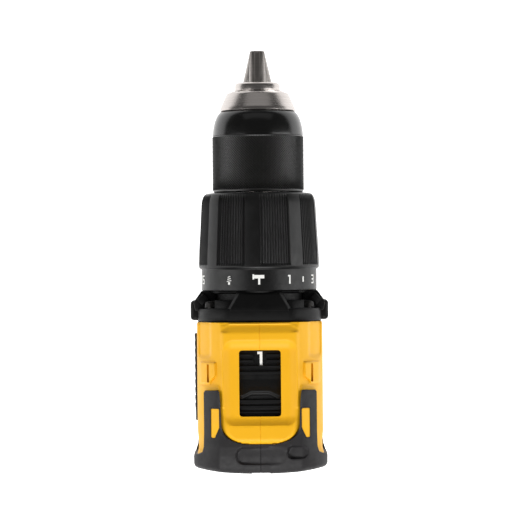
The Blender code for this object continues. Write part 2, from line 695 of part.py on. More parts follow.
def clutch():
    """The numbered collar with its grip, the nut inside it and the spring."""
    rings = []
    count = COLLAR_RIBS * 6
    stations = ((COLLAR_REAR_Y, NUMBER_RING_R, 0.0), (NUMBER_RING_Y, NUMBER_RING_R, 0.0),
                (NUMBER_RING_Y + 0.4, COLLAR_R, 0.7), (14.0, 24.3, 0.7),
                (26.0, 23.4, 0.5), (COLLAR_FRONT_Y, 22.0, 0.0))
    for y, radius, groove in stations:
        ring = []
        for i in range(count):
            part = i % 6
            t = 2 * math.pi * i / count + math.pi / 2 - math.pi / count
            r = radius if part in (0, 1) else radius - groove
            ring.append((r * math.cos(t), y, AXIS_Z + r * math.sin(t)))
        rings.append(ring)
    collar = loft("clutch_collar", rings)
    hole = turned("hole", [(0.0, -14.0), (COLLAR_IN_R, -14.0), (COLLAR_IN_R, 25.6), (17.0, 25.6),
                           (17.0, 30.0), (0.0, 30.0)], 32)
    collar = cut(collar, hole)
    place(collar, "black_nylon", (0.0, 8.0, AXIS_Z))
    nut = turned("clutch_nut", [(NECK_R + GAP, 10.0), (21.4, 10.0), (21.4, 15.0),
                                (NECK_R + GAP, 15.0)], 24)
    place(nut, "black_nylon", (0.0, 10.0, AXIS_Z))
    turns = 3.6
    steps = 11
    wire = 0.85
    low = -5.6 + wire
    high = 9.7 - wire
    count = int(turns * steps)
    curve = bpy.data.curves.new("clutch_spring", "CURVE")
    curve.dimensions = "3D"
    curve.bevel_depth = wire * MM
    curve.bevel_resolution = 1
    curve.use_fill_caps = True
    line = curve.splines.new("POLY")
    line.points.add(count)
    for i in range(count + 1):
        t = 2 * math.pi * i / steps
        y = low + (high - low) * i / count
        r = 18.4
        line.points[i].co = (r * math.cos(t) * MM, y * MM, (AXIS_Z + r * math.sin(t)) * MM, 1.0)
    ob = bpy.data.objects.new("spring_curve", curve)
    PARTS.objects.link(ob)
    bpy.context.view_layer.update()
    place(curve_to_mesh(ob, "clutch_spring"), "steel", (0.0, -5.6, AXIS_Z))


def jaw_line(at, y):
    """A point on a jaw's sloping axis."""
    r = JAW_AXIS_R + (NOSE_TIP_Y - y) * math.tan(math.radians(JAW_TAPER))
    return (r * math.cos(at), y, AXIS_Z + r * math.sin(at))


def chuck():
    """Spindle, chuck body, sleeve, nut, nose and three sloping jaws."""
    spindle = turned("spindle", [
        (0.0, -12.4), (4.2, -12.4), (4.2, -9.3), (8.6, -9.3), (8.6, -7.4), (6.8, -7.4), (6.8, 26.0),
        (6.3, 26.6), (6.3, 39.0), (5.6, 40.0), (0.0, 40.0)], 20)
    place(spindle, "steel", (0.0, 0.0, AXIS_Z))
    ratchet = turned("fixed_ratchet", [(7.4, -6.6), (12.9, -6.6), (12.9, -2.6), (7.4, -2.6)], 20)
    for k in range(8):
        t = 2 * math.pi * (k + 0.37) / 8
        a = (6.5 * math.cos(t), -2.6, AXIS_Z + 6.5 * math.sin(t))
        b = (14.0 * math.cos(t), -2.6, AXIS_Z + 14.0 * math.sin(t))
        ratchet = cut(ratchet, rod("notch", a, b, 0.8, 6))
    place(ratchet, "dark_steel", (0.0, -4.6, AXIS_Z))
    ring = turned("spindle_bearing", [(7.1, 16.0), (12.9, 16.0), (12.9, 23.9), (7.1, 23.9)], 20)
    place(ring, "steel", (0.0, 20.0, AXIS_Z))

    body = turned("chuck_body", [
        (6.6, 28.8), (16.9, 28.8), (16.9, 32.4), (16.3, 32.9), (16.3, 49.6), (10.5, 49.6),
        (10.5, 56.8), (11.0, 57.2), (11.0, 69.9), (NOSE_RING_R, 70.5), (NOSE_RING_R, 73.0),
        (8.6, NOSE_TIP_Y), (5.3, NOSE_TIP_Y), (5.3, 42.0), (6.6, 41.0)], 28)
    for k in range(3):
        at = math.radians(90 + 120 * k)
        body = cut(body, rod("hole", jaw_line(at, 31.8), jaw_line(at, 90.0), JAW_R + 0.2, 12))
    place(body, "steel", (0.0, 51.0, AXIS_Z))
    nose = turned("chuck_nose", [(11.3, 62.2), (NOSE_REAR_R, 62.2), (NOSE_REAR_R, 63.0),
                                 (NOSE_FRONT_R, 69.7), (11.3, 69.7)], 28)
    place(nose, "steel", (0.0, 66.0, AXIS_Z))
    sleeve = turned("chuck_sleeve", [
        (SLEEVE_IN_R, 28.6), (SLEEVE_R - 0.6, 28.6), (SLEEVE_R, 29.2), (SLEEVE_R, 51.7), (18.7, 52.2),
        (18.3, 55.0), (17.4, 58.4), (15.9, SLEEVE_FRONT_Y), (14.6, SLEEVE_FRONT_Y), (16.2, 57.6),
        (16.9, 54.0), (SLEEVE_IN_R, 50.0)], 28)
    place(sleeve, "black_nylon", (0.0, 45.0, AXIS_Z))
    slope = math.tan(math.radians(JAW_TAPER))
    edge = JAW_AXIS_R + JAW_R / math.cos(math.radians(JAW_TAPER)) + 0.35
    in_rear = edge + (NOSE_TIP_Y - 50.2) * slope
    in_front = edge + (NOSE_TIP_Y - 56.4) * slope
    nut = turned("chuck_nut", [(in_rear, 50.2), (16.4, 50.2), (16.4, 54.0), (15.9, 56.4),
                               (in_front, 56.4)], 24)
    place(nut, "dark_steel", (0.0, 53.0, AXIS_Z))
    for k in range(3):
        at = math.radians(90 + 120 * k)
        jaw = rod(f"jaw_{k + 1}", jaw_line(at, 44.0), jaw_line(at, 96.0), JAW_R, 12)
        out = Vector((math.cos(at), 0.0, math.sin(at)))
        side = Vector((-math.sin(at), 0.0, math.cos(at)))
        mid = Vector((0.0, 0.0, AXIS_Z))
        # a wedge whose two inner faces stand between this jaw and its neighbours
        lip = 0.18
        rings = []
        for y in (JAW_REAR_Y, JAW_TIP_Y):
            ring = []
            for u, v in ((lip * 2, 0.35), (lip * 2, -0.35), (9.0, -15.3), (22.0, -15.3), (22.0, 15.3),
                         (9.0, 15.3)):
                ring.append(tuple(mid + out * u + side * v + Vector((0.0, y, 0.0))))
            rings.append(ring)
        jaw = common(jaw, loft("wedge", rings))
        tip = loft("tip", [
            [tuple(mid + out * u + side * v + Vector((0.0, y, 0.0)))
             for u, v in ((-2.0, -6.0), (r, -6.0), (r, 6.0), (-2.0, 6.0))]
            for y, r in ((JAW_REAR_Y - 10.0, 30.0), (JAW_TIP_Y - 3.0, 4.3), (JAW_TIP_Y + 0.5, 2.8))])
        jaw = common(jaw, tip)
        place(jaw, "steel", jaw_line(at, 70.0))


def grip_parts():
    """Switch, trigger, direction button, boards, lens and terminals."""
    place(box("switch_module", (-11.0, 11.0), (-62.0, -41.0), (108.0, 134.0), 1.0, 1),
          "black_nylon", (0.0, -50.0, 120.0))
    shape = [(-38.8, 110.0), (-21.0, 110.0), (-15.5, 113.0), (-17.6, 121.0), (-17.2, 128.0),
             (-14.0, 134.3), (-31.0, 134.3), (-33.4, 132.0), (-33.4, 112.0)]
    shape = [(-33.4, 110.0), (-21.0, 110.0), (-16.2, 112.6), (-17.8, 120.0), (-17.4, 128.0),
             (-14.4, 134.4), (-33.4, 134.4)]
    trigger = prism("trigger", shape, "X", -6.7, 6.7)
    place(trigger, "black_nylon", (0.0, -33.4, 122.0))
    button = box("direction_button", (-21.6, 21.6), (-42.9, -35.1), (136.6, 142.0), 0.8, 1)
    place(button, "black_nylon", (0.0, -39.0, 139.3))
    place(box("control_board", (-15.0, 15.0), (-54.0, -4.0), (69.6, 71.2)), "board", (0.0, -29.0, 69.6))
    place(box("led_lens", (-4.0, 4.0), (4.3, 10.1), (73.6, 78.4), 0.6, 1), "lens", (0.0, 7.2, 73.6))
    block = box("tool_terminals", (-13.0, 13.0), (-61.6, -58.6), (61.0, 66.4))
    for k in range(4):
        x = -9.0 + 6.0 * k
        block = join(block, box("blade", (x - 0.4, x + 0.4), (-59.0, -49.0), (61.6, 65.6)))
    place(block, "copper", (0.0, -60.0, 63.0))
    badge = box("side_badge", (-26.9, -26.05), (-66.0, -30.0), (AXIS_Z - 5.0, AXIS_Z + 6.0), 0.3, 1)
    place(badge, "black_nylon", (-26.5, -48.0, AXIS_Z))
    for i, (y, z) in enumerate(HOUSING_SCREWS):
        head = 11.7 if z > 80.0 else 19.7
        screw = rod(f"housing_screw_{i + 1}", (-8.0, y, z), (head + 0.5, y, z), 1.5, 12)
        screw = join(screw, rod("head", (head, y, z), (head + 2.2, y, z), 2.6, 14))
        place(screw, "dark_steel", (head, y, z))


def pack():
    """Battery pack: case, railed cover, four cells, board and latch."""
    w = FOOT_HALF_W
    y0 = FOOT_REAR_Y + 0.6
    y1 = FOOT_FRONT_Y
    outline = rounded([(w, y0), (w, y1), (-w, y1), (-w, y0)], 7.0, 3)
    base = rounded([(w - 1.6, y0 + 1.6), (w - 1.6, y1 - 1.6), (-w + 1.6, y1 - 1.6),
                    (-w + 1.6, y0 + 1.6)], 7.0, 3)
    case = loft("pack_case", [[(x, y, 0.0) for x, y in base], [(x, y, 2.0) for x, y in outline],
                              [(x, y, CASE_TOP_Z) for x, y in outline]])
    t = PACK_WALL
    inside = rounded([(w - t, y0 + t), (w - t, y1 - t), (-w + t, y1 - t), (-w + t, y0 + t)], 5.0, 2)
    case = cut(case, prism("room", inside, "Z", t, CASE_TOP_Z + 5.0))
    place(case, "black_nylon")
    low = CASE_TOP_Z + GAP
    cover = loft("pack_cover", [[(x, y, low) for x, y in outline],
                                [(x, y, PACK_TOP_Z - 2.0) for x, y in outline],
                                [(x * 0.95, y * 0.98 - 0.6, PACK_TOP_Z) for x, y in outline]])
    cover = cut(cover, prism("room", inside, "Z", low - 5.0, PACK_TOP_Z - 2.2))
    n = RAIL_NECK_HALF_W
    r = RAIL_HALF_W
    z0 = PACK_TOP_Z - 1.0
    shape = [(-n, z0), (n, z0), (n, 63.6), (r, 63.6), (r, RAIL_TOP_Z), (-r, RAIL_TOP_Z), (-r, 63.6),
             (-n, 63.6)]
    cover = join(cover, prism("rail", shape, "Y", -58.2, -1.5))
    for k in range(4):
        x = -9.0 + 6.0 * k
        cover = cut(cover, box("slot", (x - 0.9, x + 0.9), (-60.0, -47.5), (61.0, 70.0)))
    cover = cut(cover, box("well", (-7.6, 7.6), (-0.8, 9.0), (50.0, 62.0)))
    cover = cut(cover, box("notch", (-7.6, 7.6), (8.0, 20.0), (40.0, 55.0)))
    place(cover, "black_nylon", (0.0, 0.0, low))
    latch = box("latch_button", (-7.0, 7.0), (-0.2, 8.4), (50.6, 62.8), 0.6, 1)
    latch = join(latch, box("pad", (-7.0, 7.0), (7.0, 12.6), (50.6, 54.4), 0.6, 1))
    place(latch, "black_nylon", (0.0, 4.0, 54.0))
    k = 0
    for x in (-10.9, 10.9):
        for z in (13.2, 34.9):
            k += 1
            cell = rod(f"cell_{k}", (x, -72.0, z), (x, -72.0 + CELL_LEN, z), CELL_R, 16)
            place(cell, "cell_sleeve", (x, -72.0 + CELL_LEN / 2, z))
    place(box("pack_board", (-19.0, 19.0), (-62.0, -6.0), (48.4, 50.0)), "board", (0.0, -34.0, 48.4))


housing()
overmould()
gear_case()
motor(gearbox())
shifter()
clutch()
chuck()
grip_parts()
pack()
bpy.context.view_layer.update()
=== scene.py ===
"""Finish of a cordless drill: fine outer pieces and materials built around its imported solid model.

Lengths in this file are millimetres, turned to metres by MM. +Y runs forward along the spindle,
+X is the user's right and +Z is up.
"""

import math

import bpy
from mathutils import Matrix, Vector


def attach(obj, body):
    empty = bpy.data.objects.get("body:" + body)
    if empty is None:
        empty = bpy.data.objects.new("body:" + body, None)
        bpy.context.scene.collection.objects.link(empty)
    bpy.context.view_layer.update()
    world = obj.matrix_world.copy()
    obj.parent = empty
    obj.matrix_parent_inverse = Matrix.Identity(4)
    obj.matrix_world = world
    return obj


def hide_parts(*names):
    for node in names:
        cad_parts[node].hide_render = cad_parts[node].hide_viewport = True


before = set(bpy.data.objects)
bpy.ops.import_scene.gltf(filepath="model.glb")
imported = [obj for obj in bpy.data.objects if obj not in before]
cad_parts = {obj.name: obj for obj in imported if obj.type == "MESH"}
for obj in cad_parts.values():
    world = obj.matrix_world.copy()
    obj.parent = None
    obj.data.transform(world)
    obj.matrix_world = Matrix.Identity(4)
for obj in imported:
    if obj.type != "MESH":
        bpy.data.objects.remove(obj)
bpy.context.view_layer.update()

bl_info = {
    "name": "Cordless Drill Finish",
    "version": (1, 0, 0),
    "blender": (4, 5, 0),
    "location": "View3D > Sidebar > Drill",
    "description": "Builds the outer pieces, materials and studio for a cordless drill",
    "category": "Object",
}

MM = 0.001
AXIS = 170.0
TAU = 2 * math.pi
CLEAN = 0.003      # points closer than this after a Boolean are one
WALL = 2.4         # thickness of the nylon shells
OVERMOULD = 1.3    # thickness of the soft rubber
SEAM_EASE = 0.15   # chamfer that shows the joint between two halves
RING = 23.9        # radius of the number ring
CASE_SCREWS = [(19.6, 16.6), (-19.6, 16.6), (19.6, -16.6), (-19.6, -16.6)]
HOUSING_SCREWS = [(-66.0, 139.5), (-69.0, 101.0), (-41.5, 92.0), (-73.0, 71.8), (7.0, 71.8)]


# ---------------------------------------------------------------- settings


class DrillSettings(bpy.types.PropertyGroup):
    """Sizes and colours that a user would change."""

    rib_count: bpy.props.IntProperty(
        name="Collar ribs", description="Smooth ribs round the clutch collar", default=8, min=4, max=12)
    flutes: bpy.props.IntProperty(
        name="Flutes", description="Fine flutes between two collar ribs", default=11, min=6, max=14)
    flute_depth: bpy.props.FloatProperty(
        name="Flute depth", description="Depth of a collar flute", default=0.00045, unit="LENGTH")
    knurl_count: bpy.props.IntProperty(
        name="Knurl points", description="Knurl points round the chuck sleeve", default=108, min=60)
    knurl_depth: bpy.props.FloatProperty(
        name="Knurl depth", description="Height of a knurl point", default=0.0003, unit="LENGTH")
    number_height: bpy.props.FloatProperty(
        name="Number height", description="Height of the clutch numbers", default=0.0036, unit="LENGTH")
    ridge_pitch: bpy.props.FloatProperty(
        name="Ridge pitch", description="Distance between selector ridges", default=0.00235,
        unit="LENGTH")
    shell_colour: bpy.props.FloatVectorProperty(
        name="Shell", description="Colour of the nylon shell", subtype="COLOR", size=3,
        default=(0.855, 0.435, 0.010), min=0, max=1)
    rubber_colour: bpy.props.FloatVectorProperty(
        name="Rubber", description="Colour of the soft overmould", subtype="COLOR", size=3,
        default=(0.013, 0.012, 0.013), min=0, max=1)


def settings():
    return bpy.context.scene.drill_settings


# ---------------------------------------------------------------- modelling helpers


def deselect():
    """Leave edit mode and clear the selection."""
    if bpy.context.object and bpy.context.object.mode != "OBJECT":
        bpy.ops.object.mode_set(mode="OBJECT")
    bpy.ops.object.select_all(action="DESELECT")


def activate(ob):
    deselect()
    ob.select_set(True)
    bpy.context.view_layer.objects.active = ob


def settle(ob):
    """Move an object's place into its mesh."""
    activate(ob)
    bpy.ops.object.transform_apply(location=True, rotation=True, scale=True)
    return ob


def edit_all(ob):
    """Open one object for editing, with all of its mesh selected."""
    activate(ob)
    bpy.ops.object.mode_set(mode="EDIT")
    bpy.ops.mesh.select_all(action="SELECT")


def end_edit():
    bpy.ops.object.mode_set(mode="OBJECT")


def tidy(ob, merge=0.0005):
    """Merge doubles and point the faces outwards."""
    edit_all(ob)
    bpy.ops.mesh.remove_doubles(threshold=merge * MM)
    bpy.ops.mesh.normals_make_consistent(inside=False)
    end_edit()
    return ob


def apply_modifier(ob, kind, **values):
    """Add one modifier and apply it."""
    activate(ob)
    mod = ob.modifiers.new(kind.lower(), kind)
    for key, value in values.items():
        setattr(mod, key, value)
    bpy.ops.object.modifier_apply(modifier=mod.name)
    return ob


def combine(target, tool, operation):
    """One exact Boolean, then the tool is removed."""
    apply_modifier(target, "BOOLEAN", solver="EXACT", operation=operation, object=tool)
    bpy.data.objects.remove(tool)
    edit_all(target)
    bpy.ops.mesh.dissolve_degenerate(threshold=CLEAN * MM)
    bpy.ops.mesh.remove_doubles(threshold=CLEAN * MM)
    end_edit()
    return target


def cut(target, tool):
    return combine(target, tool, "DIFFERENCE")


def fuse(target, tool):
    return combine(target, tool, "UNION")


def keep(target, tool):
    return combine(target, tool, "INTERSECT")


def soften(ob, width, segments=2, angle=35.0):
    """Round the edges sharper than angle."""
    return apply_modifier(ob, "BEVEL", width=width * MM, segments=segments, limit_method="ANGLE",
                          angle_limit=math.radians(angle), harden_normals=False)


def duplicate(ob, name):
    twin = bpy.data.objects.new(name, ob.data.copy())
    bpy.context.scene.collection.objects.link(twin)
    return twin


def turned(name, profile, segments=96, solid=False, centre=(0.0, AXIS)):
    """Turn a (radius, y) profile about a line along Y: a circle is extruded and resized ring by ring.
    A solid one is capped at both ends; any other profile comes back to its start."""
    deselect()
    radius, y = profile[0]
    bpy.ops.mesh.primitive_circle_add(
        vertices=segments, radius=radius * MM, fill_type="NGON" if solid else "NOTHING",
        location=(centre[0] * MM, y * MM, centre[1] * MM), rotation=(-math.pi / 2, 0, 0))
    ob = bpy.context.object
    ob.name = name
    settle(ob)
    edit_all(ob)
    stations = profile[1:] if solid else profile[1:] + profile[:1]
    for next_radius, next_y in stations:
        bpy.ops.mesh.extrude_region_move(
            TRANSFORM_OT_translate={"value": (0, (next_y - y) * MM, 0), "orient_type": "GLOBAL"})
        grow = next_radius / radius
        if abs(grow - 1) > 1e-9:
            bpy.ops.transform.resize(
                value=(grow, 1, grow), orient_type="GLOBAL",
                center_override=(centre[0] * MM, next_y * MM, centre[1] * MM))
        radius, y = next_radius, next_y
    return tidy(ob)


def block(name, x, y, z, edge=0.0, segments=2):
    """A box over three (low, high) pairs with rounded edges."""
    deselect()
    spans = (x, y, z)
    bpy.ops.mesh.primitive_cube_add(size=1.0, location=[(a + b) / 2 * MM for a, b in spans])
    ob = bpy.context.object
    ob.name = name
    ob.scale = [(b - a) * MM for a, b in spans]
    settle(ob)
    if edge:
        soften(ob, edge, segments)
    return ob


def slab(name, outline, axis, low, high, edge=0.0, segments=2):
    """A flat outline extruded along one axis. Points are (x, z) along Y, (y, z) along X, (x, y) along Z."""
    place = {"X": lambda p, h: (h, p[0], p[1]), "Y": lambda p, h: (p[0], h, p[1]),
             "Z": lambda p, h: (p[0], p[1], h)}[axis]
    deselect()
    bpy.ops.mesh.primitive_circle_add(vertices=len(outline), radius=0.01, fill_type="NGON")
    ob = bpy.context.object
    ob.name = name
    for vertex, point in zip(ob.data.vertices, outline):
        vertex.co = Vector(place(point, low)) * MM
    shift = Vector(place((0, 0), high)) - Vector(place((0, 0), low))
    edit_all(ob)
    bpy.ops.mesh.extrude_region_move(
        TRANSFORM_OT_translate={"value": tuple(shift * MM), "orient_type": "GLOBAL"})
    tidy(ob)
    if edge:
        soften(ob, edge, segments)
    return ob


def rod(name, start, end, radius, segments=32):
    """A cylinder between two points."""
    deselect()
    a = Vector(start) * MM
    b = Vector(end) * MM
    turn = (b - a).to_track_quat("Z", "Y").to_euler()
    bpy.ops.mesh.primitive_cylinder_add(vertices=segments, radius=radius * MM, depth=(b - a).length,
                                        location=(a + b) / 2, rotation=turn)
    ob = bpy.context.object
    ob.name = name
    return settle(ob)


def skin(name, rows):
    """A closed form through rows of points, each row one ring: a grid is laid on them and sewn up."""
    deselect()
    around = len(rows[0])
    bpy.ops.mesh.primitive_grid_add(x_subdivisions=around, y_subdivisions=len(rows) - 1, size=0.01)
    ob = bpy.context.object
    ob.name = name
    index = 0
    for row in rows:
        for point in list(row) + [row[0]]:
            ob.data.vertices[index].co = (point[0] * MM, point[1] * MM, point[2] * MM)
            index += 1
    edit_all(ob)
    bpy.ops.mesh.remove_doubles(threshold=0.0005 * MM)
    bpy.ops.mesh.fill_holes(sides=0)
    bpy.ops.mesh.select_all(action="SELECT")
    bpy.ops.mesh.normals_make_consistent(inside=False)
    end_edit()
    return ob


def beside(side, near, far):
    """A stretch of X on one side, as (low, high)."""
    return tuple(sorted((near * side, far * side)))


def tee(neck, head, low, step, high):
    """Outline of a T-shaped rail from its half widths and its three heights."""
    return [(-neck, low), (neck, low), (neck, step), (head, step), (head, high), (-head, high),
            (-head, step), (-neck, step)]


def in_millimetres(ob):
    """Metres to plain millimetres, for what is drawn flat before it is laid on the ring."""
    for v in ob.data.vertices:
        v.co *= 1 / MM
    return ob


def rounded(corners, radius, steps=6):
    """Round every corner of a polygon."""
    out = []
    for i, corner in enumerate(corners):
        p = Vector(corner)
        a = (Vector(corners[i - 1]) - p).normalized()
        b = (Vector(corners[(i + 1) % len(corners)]) - p).normalized()
        reach = radius / math.tan(a.angle(b) / 2)
        for k in range(steps + 1):
            t = k / steps
            q = (p + a * reach) * (1 - t) ** 2 + p * 2 * t * (1 - t) + (p + b * reach) * t * t
            out.append((q.x, q.y))
    return out


def gather(name, pieces):
    """Join several meshes into one object."""
    activate(pieces[0])
    for piece in pieces[1:]:
        piece.select_set(True)
    bpy.context.view_layer.objects.active = pieces[0]
    bpy.ops.object.join()
    pieces[0].name = name
    return pieces[0]


def finish(ob, name, material, body, nodes=(), angle=30.0):
    """Shade, paint and hang a finished piece on its body, in place of the nodes it stands for."""
    activate(ob)
    ob.name = name
    ob.data.materials.clear()
    ob.data.materials.append(MATERIALS[material])
    bpy.ops.object.shade_smooth_by_angle(angle=math.radians(angle))
    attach(ob, body)
    if nodes:
        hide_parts(*nodes)
    return ob


STROKES = {
    "1": [(-0.02, -1.0, 0.34, 1.0), (-0.34, 0.66, 0.0, 1.0)],
    "3": [(-0.6, 0.7, 0.6, 1.0), (-0.45, -0.15, 0.6, 0.15), (-0.6, -1.0, 0.6, -0.7), (0.28, -1.0, 0.6, 1.0)],
    "5": [(-0.6, 0.7, 0.6, 1.0), (-0.6, -0.15, 0.6, 0.15), (-0.6, -1.0, 0.6, -0.7),
          (-0.6, 0.0, -0.28, 1.0), (0.28, -1.0, 0.6, 0.0)],
    "7": [(-0.6, 0.7, 0.6, 1.0), (0.28, -1.0, 0.6, 1.0)],
    "9": [(-0.6, 0.7, 0.6, 1.0), (-0.6, -0.15, 0.6, 0.15), (-0.6, -1.0, 0.6, -0.7),
          (-0.6, 0.0, -0.28, 1.0), (0.28, -1.0, 0.6, 1.0)],
}


def lettering(text, height):
    """Squared numerals in the XY plane, centred, still in millimetres: each is a few merged strokes."""
    pieces = []
    half = height / 2
    for k, char in enumerate(text):
        shift = (k - (len(text) - 1) / 2) * 1.45 * half
        digit = None
        for x0, y0, x1, y1 in STROKES[char]:
            stroke = block("stroke", (x0 * half + shift, x1 * half + shift), (y0 * half, y1 * half),
                           (-0.1, 0.1))
            digit = fuse(digit, stroke) if digit else stroke
        pieces.append(digit)
    return in_millimetres(gather("numeral", pieces))


# ---------------------------------------------------------------- materials


def linear(code):
    """An sRGB hex colour as linear RGBA."""
    out = []
    for k in (1, 3, 5):
        c = int(code[k:k + 2], 16) / 255
        out.append(c / 12.92 if c <= 0.04045 else ((c + 0.055) / 1.055) ** 2.4)
    return (*out, 1.0)


def add(tree, kind, links=None, **values):
    """One node: its settings, its input values and its links."""
    node = tree.nodes.new(kind)
    for key, value in values.items():
        setattr(node, key, value)
    for key, value in (links or {}).items():
        if isinstance(value, bpy.types.NodeSocket):
            tree.links.new(value, node.inputs[key])
        else:
            node.inputs[key].default_value = value
    return node


def blank(name, **sockets):
    """A new material with its Principled shader and constant sockets set on it."""
    mat = bpy.data.materials.new(name)
    mat.use_nodes = True
    shader = mat.node_tree.nodes["Principled BSDF"]
    for key, value in sockets.items():
        shader.inputs[key.replace("_", " ")].default_value = value
    return mat, mat.node_tree, shader


def noise(tree, place, size, detail=2.0, roughness=0.5):
    """Fractal noise with blotches of about size millimetres."""
    return add(tree, "ShaderNodeTexNoise", {"Vector": place, "Scale": 1 / (size * MM), "Detail": detail,
                                            "Roughness": roughness}).outputs["Fac"]


def two_tone(tree, shader, factor, light, dark):
    """Base colour that wanders between two tones."""
    tone = add(tree, "ShaderNodeMix", {"Factor": factor}, data_type="RGBA")
    tone.inputs[6].default_value = light
    tone.inputs[7].default_value = dark
    tree.links.new(tone.outputs[2], shader.inputs["Base Color"])


def polish(tree, shader, factor, low, high, start=0.0, end=1.0):
    """Roughness from low to high as factor goes from start to end."""
    spread = add(tree, "ShaderNodeMapRange", {"Value": factor, "From Min": start, "From Max": end,
                                              "To Min": low, "To Max": high})
    tree.links.new(spread.outputs["Result"], shader.inputs["Roughness"])


def relief(tree, shader, height, strength, depth):
    """Fine surface height, depth in millimetres."""
    bump = add(tree, "ShaderNodeBump", {"Height": height, "Strength": strength, "Distance": depth * MM})
    tree.links.new(bump.outputs["Normal"], shader.inputs["Normal"])


def moulded(name, light, dark, grain, depth, smooth, rough, **sockets):
    """Injection-moulded plastic or rubber: spark-eroded grain, slow tone drift and faint scuffs."""
    mat, tree, shader = blank(name, **sockets)
    place = add(tree, "ShaderNodeTexCoord").outputs["Object"]
    two_tone(tree, shader, noise(tree, place, 18, 3.0), light, dark)
    polish(tree, shader, noise(tree, place, 3.0, 5.0, 0.65), smooth, rough, 0.3, 0.7)
    relief(tree, shader, noise(tree, place, grain), 1.0, depth)
    return mat


def turned_steel(name, light, dark, rough, lines=0.25):
    """Lathe-turned steel: fine rings round the spindle, stretched along it in tone."""
    mat, tree, shader = blank(name, Metallic=1.0, Anisotropic=0.55, Roughness=rough)
    place = add(tree, "ShaderNodeTexCoord").outputs["Object"]
    rings = add(tree, "ShaderNodeMapping", {"Vector": place, "Scale": (12.0, 1 / (lines * MM), 12.0)})
    cutter = add(tree, "ShaderNodeTexNoise", {"Vector": rings.outputs["Vector"], "Scale": 1.0,
                                              "Detail": 4.0, "Roughness": 0.6}).outputs["Fac"]
    two_tone(tree, shader, cutter, light, dark)
    polish(tree, shader, cutter, rough * 0.7, rough * 1.4)
    around = add(tree, "ShaderNodeTangent", direction_type="RADIAL", axis="Y")
    tree.links.new(around.outputs["Tangent"], shader.inputs["Tangent"])
    relief(tree, shader, cutter, 0.35, 0.01)
    return mat


def plain_metal(name, light, dark, rough, size):
    """Worked metal with a soft mottle from handling, stamping or winding."""
    mat, tree, shader = blank(name, Metallic=1.0)
    place = add(tree, "ShaderNodeTexCoord").outputs["Object"]
    mottle = noise(tree, place, size, 4.0)
    two_tone(tree, shader, mottle, light, dark)
    polish(tree, shader, mottle, rough * 0.8, rough * 1.3)
    return mat


MATERIALS = {}


def make_materials():
    """Every finish on the drill, by a maker's name."""
    s = settings()
    shell = (*s.shell_colour, 1.0)
    MATERIALS.update({
        # glass-filled nylon, spark-eroded tool finish: a fine even grain that breaks up highlights
        "nylon_yellow": moulded("glass_filled_nylon_yellow", shell,
                                tuple(c * 0.94 for c in shell[:3]) + (1.0,), 0.35, 0.012, 0.42, 0.55,
                                Specular_IOR_Level=0.22),
        # thermoplastic elastomer: deep charcoal, dull, with a soft lighter bloom that drifts in slow random
        # blotches
        "rubber": moulded("tpe_rubber_charcoal", (*s.rubber_colour, 1.0), linear("#1a1819"), 0.5, 0.03,
                          0.5, 0.66, Specular_IOR_Level=0.27),
        # black glass-filled nylon with the same grain as the shell
        "nylon_black": moulded("glass_filled_nylon_black", linear("#0e0e0e"), linear("#090909"), 0.35,
                               0.012, 0.34, 0.48, Specular_IOR_Level=0.3),
        # black nylon over the knurl: smoother, so each point of the knurl catches the light; its base colour
        # is painted lighter than the glossy dome of the same sleeve, a painted sheen
        "nylon_knurl_painted_sheen": moulded("fine_nylon_black_painted_sheen", linear("#1b1b1a"), linear("#131312"), 0.6, 0.003, 0.3,
                               0.4, Specular_IOR_Level=0.8),
        # the gear case's black nylon: a coarser, drier grain that stays dark beside the collar
        "nylon_case": moulded("glass_filled_nylon_case", linear("#0a0a0a"), linear("#070707"), 0.45,
                              0.015, 0.4, 0.55, Specular_IOR_Level=0.16),
        # polished black nylon on the chuck's dome, from a mirror-polished tool
        "nylon_gloss": moulded("polished_nylon_black", linear("#0c0c0b"), linear("#080808"), 1.5, 0.002,
                               0.16, 0.24),
        # bearing-steel chuck parts, turned and lightly oiled
        "steel": turned_steel("turned_steel", linear("#c9c3bf"), linear("#a49e9a"), 0.24),
        # hardened jaws, ground then dulled by the furnace
        "jaw_steel": turned_steel("ground_jaw_steel", linear("#9d9894"), linear("#7c7875"), 0.32, 0.6),
        # cut gear steel with a satin flank
        "gear_steel": plain_metal("sintered_gear_steel", linear("#a8a4a0"), linear("#86827e"), 0.36, 2.0),
        # black-oxide screws and nuts
        "oxide": plain_metal("black_oxide_steel", linear("#2c2b2a"), linear("#1b1a1a"), 0.42, 1.5),
        # enamelled copper windings
        "copper": plain_metal("enamelled_copper", linear("#b5652f"), linear("#8a4520"), 0.34, 0.8),
        # fibreglass board under green solder mask
        "board": moulded("solder_mask_board", linear("#1d6b38"), linear("#155229"), 2.0, 0.01, 0.3, 0.4),
        # heat-shrink sleeve on the cells
        "sleeve": moulded("pvc_shrink_sleeve", linear("#2b6f9e"), linear("#235b84"), 6.0, 0.01, 0.25,
                          0.38),
        # pad-printed ink: matt, with a faint random tone drift and fine grain
        "ink": moulded("pad_print_ink_white", linear("#f2f2ef"), linear("#e2e2de"), 0.6, 0.004, 0.5,
                       0.65),
        # clear polycarbonate over the work light
        "lens": moulded("polycarbonate_lens", linear("#eef3f6"), linear("#e4eaee"), 3.0, 0.002, 0.05,
                        0.1, Transmission_Weight=0.85, IOR=1.58),
    })


# ---------------------------------------------------------------- motor body form

TOP = [(-25.2, 26.3), (-25.7, 27.0), (-26.2, 26.7), (-26.8, 26.9), (-28.9, 28.0), (-29.5, 28.25),
       (-72.6, 28.3), (-88.0, 28.2)]
DECK = [(-25.2, 26.4), (-60.0, 26.9), (-66.0, 26.4), (-71.0, 25.3), (-76.0, 24.9), (-80.0, 24.1),
        (-84.0, 22.9), (-88.0, 21.0)]
WIDE = [(-25.2, 25.6), (-26.0, 25.9), (-70.0, 25.9), (-74.0, 25.5), (-77.0, 25.5), (-79.4, 26.0),
        (-81.5, 26.3), (-88.0, 26.2)]
CREST = 15.8
REAR = -85.9


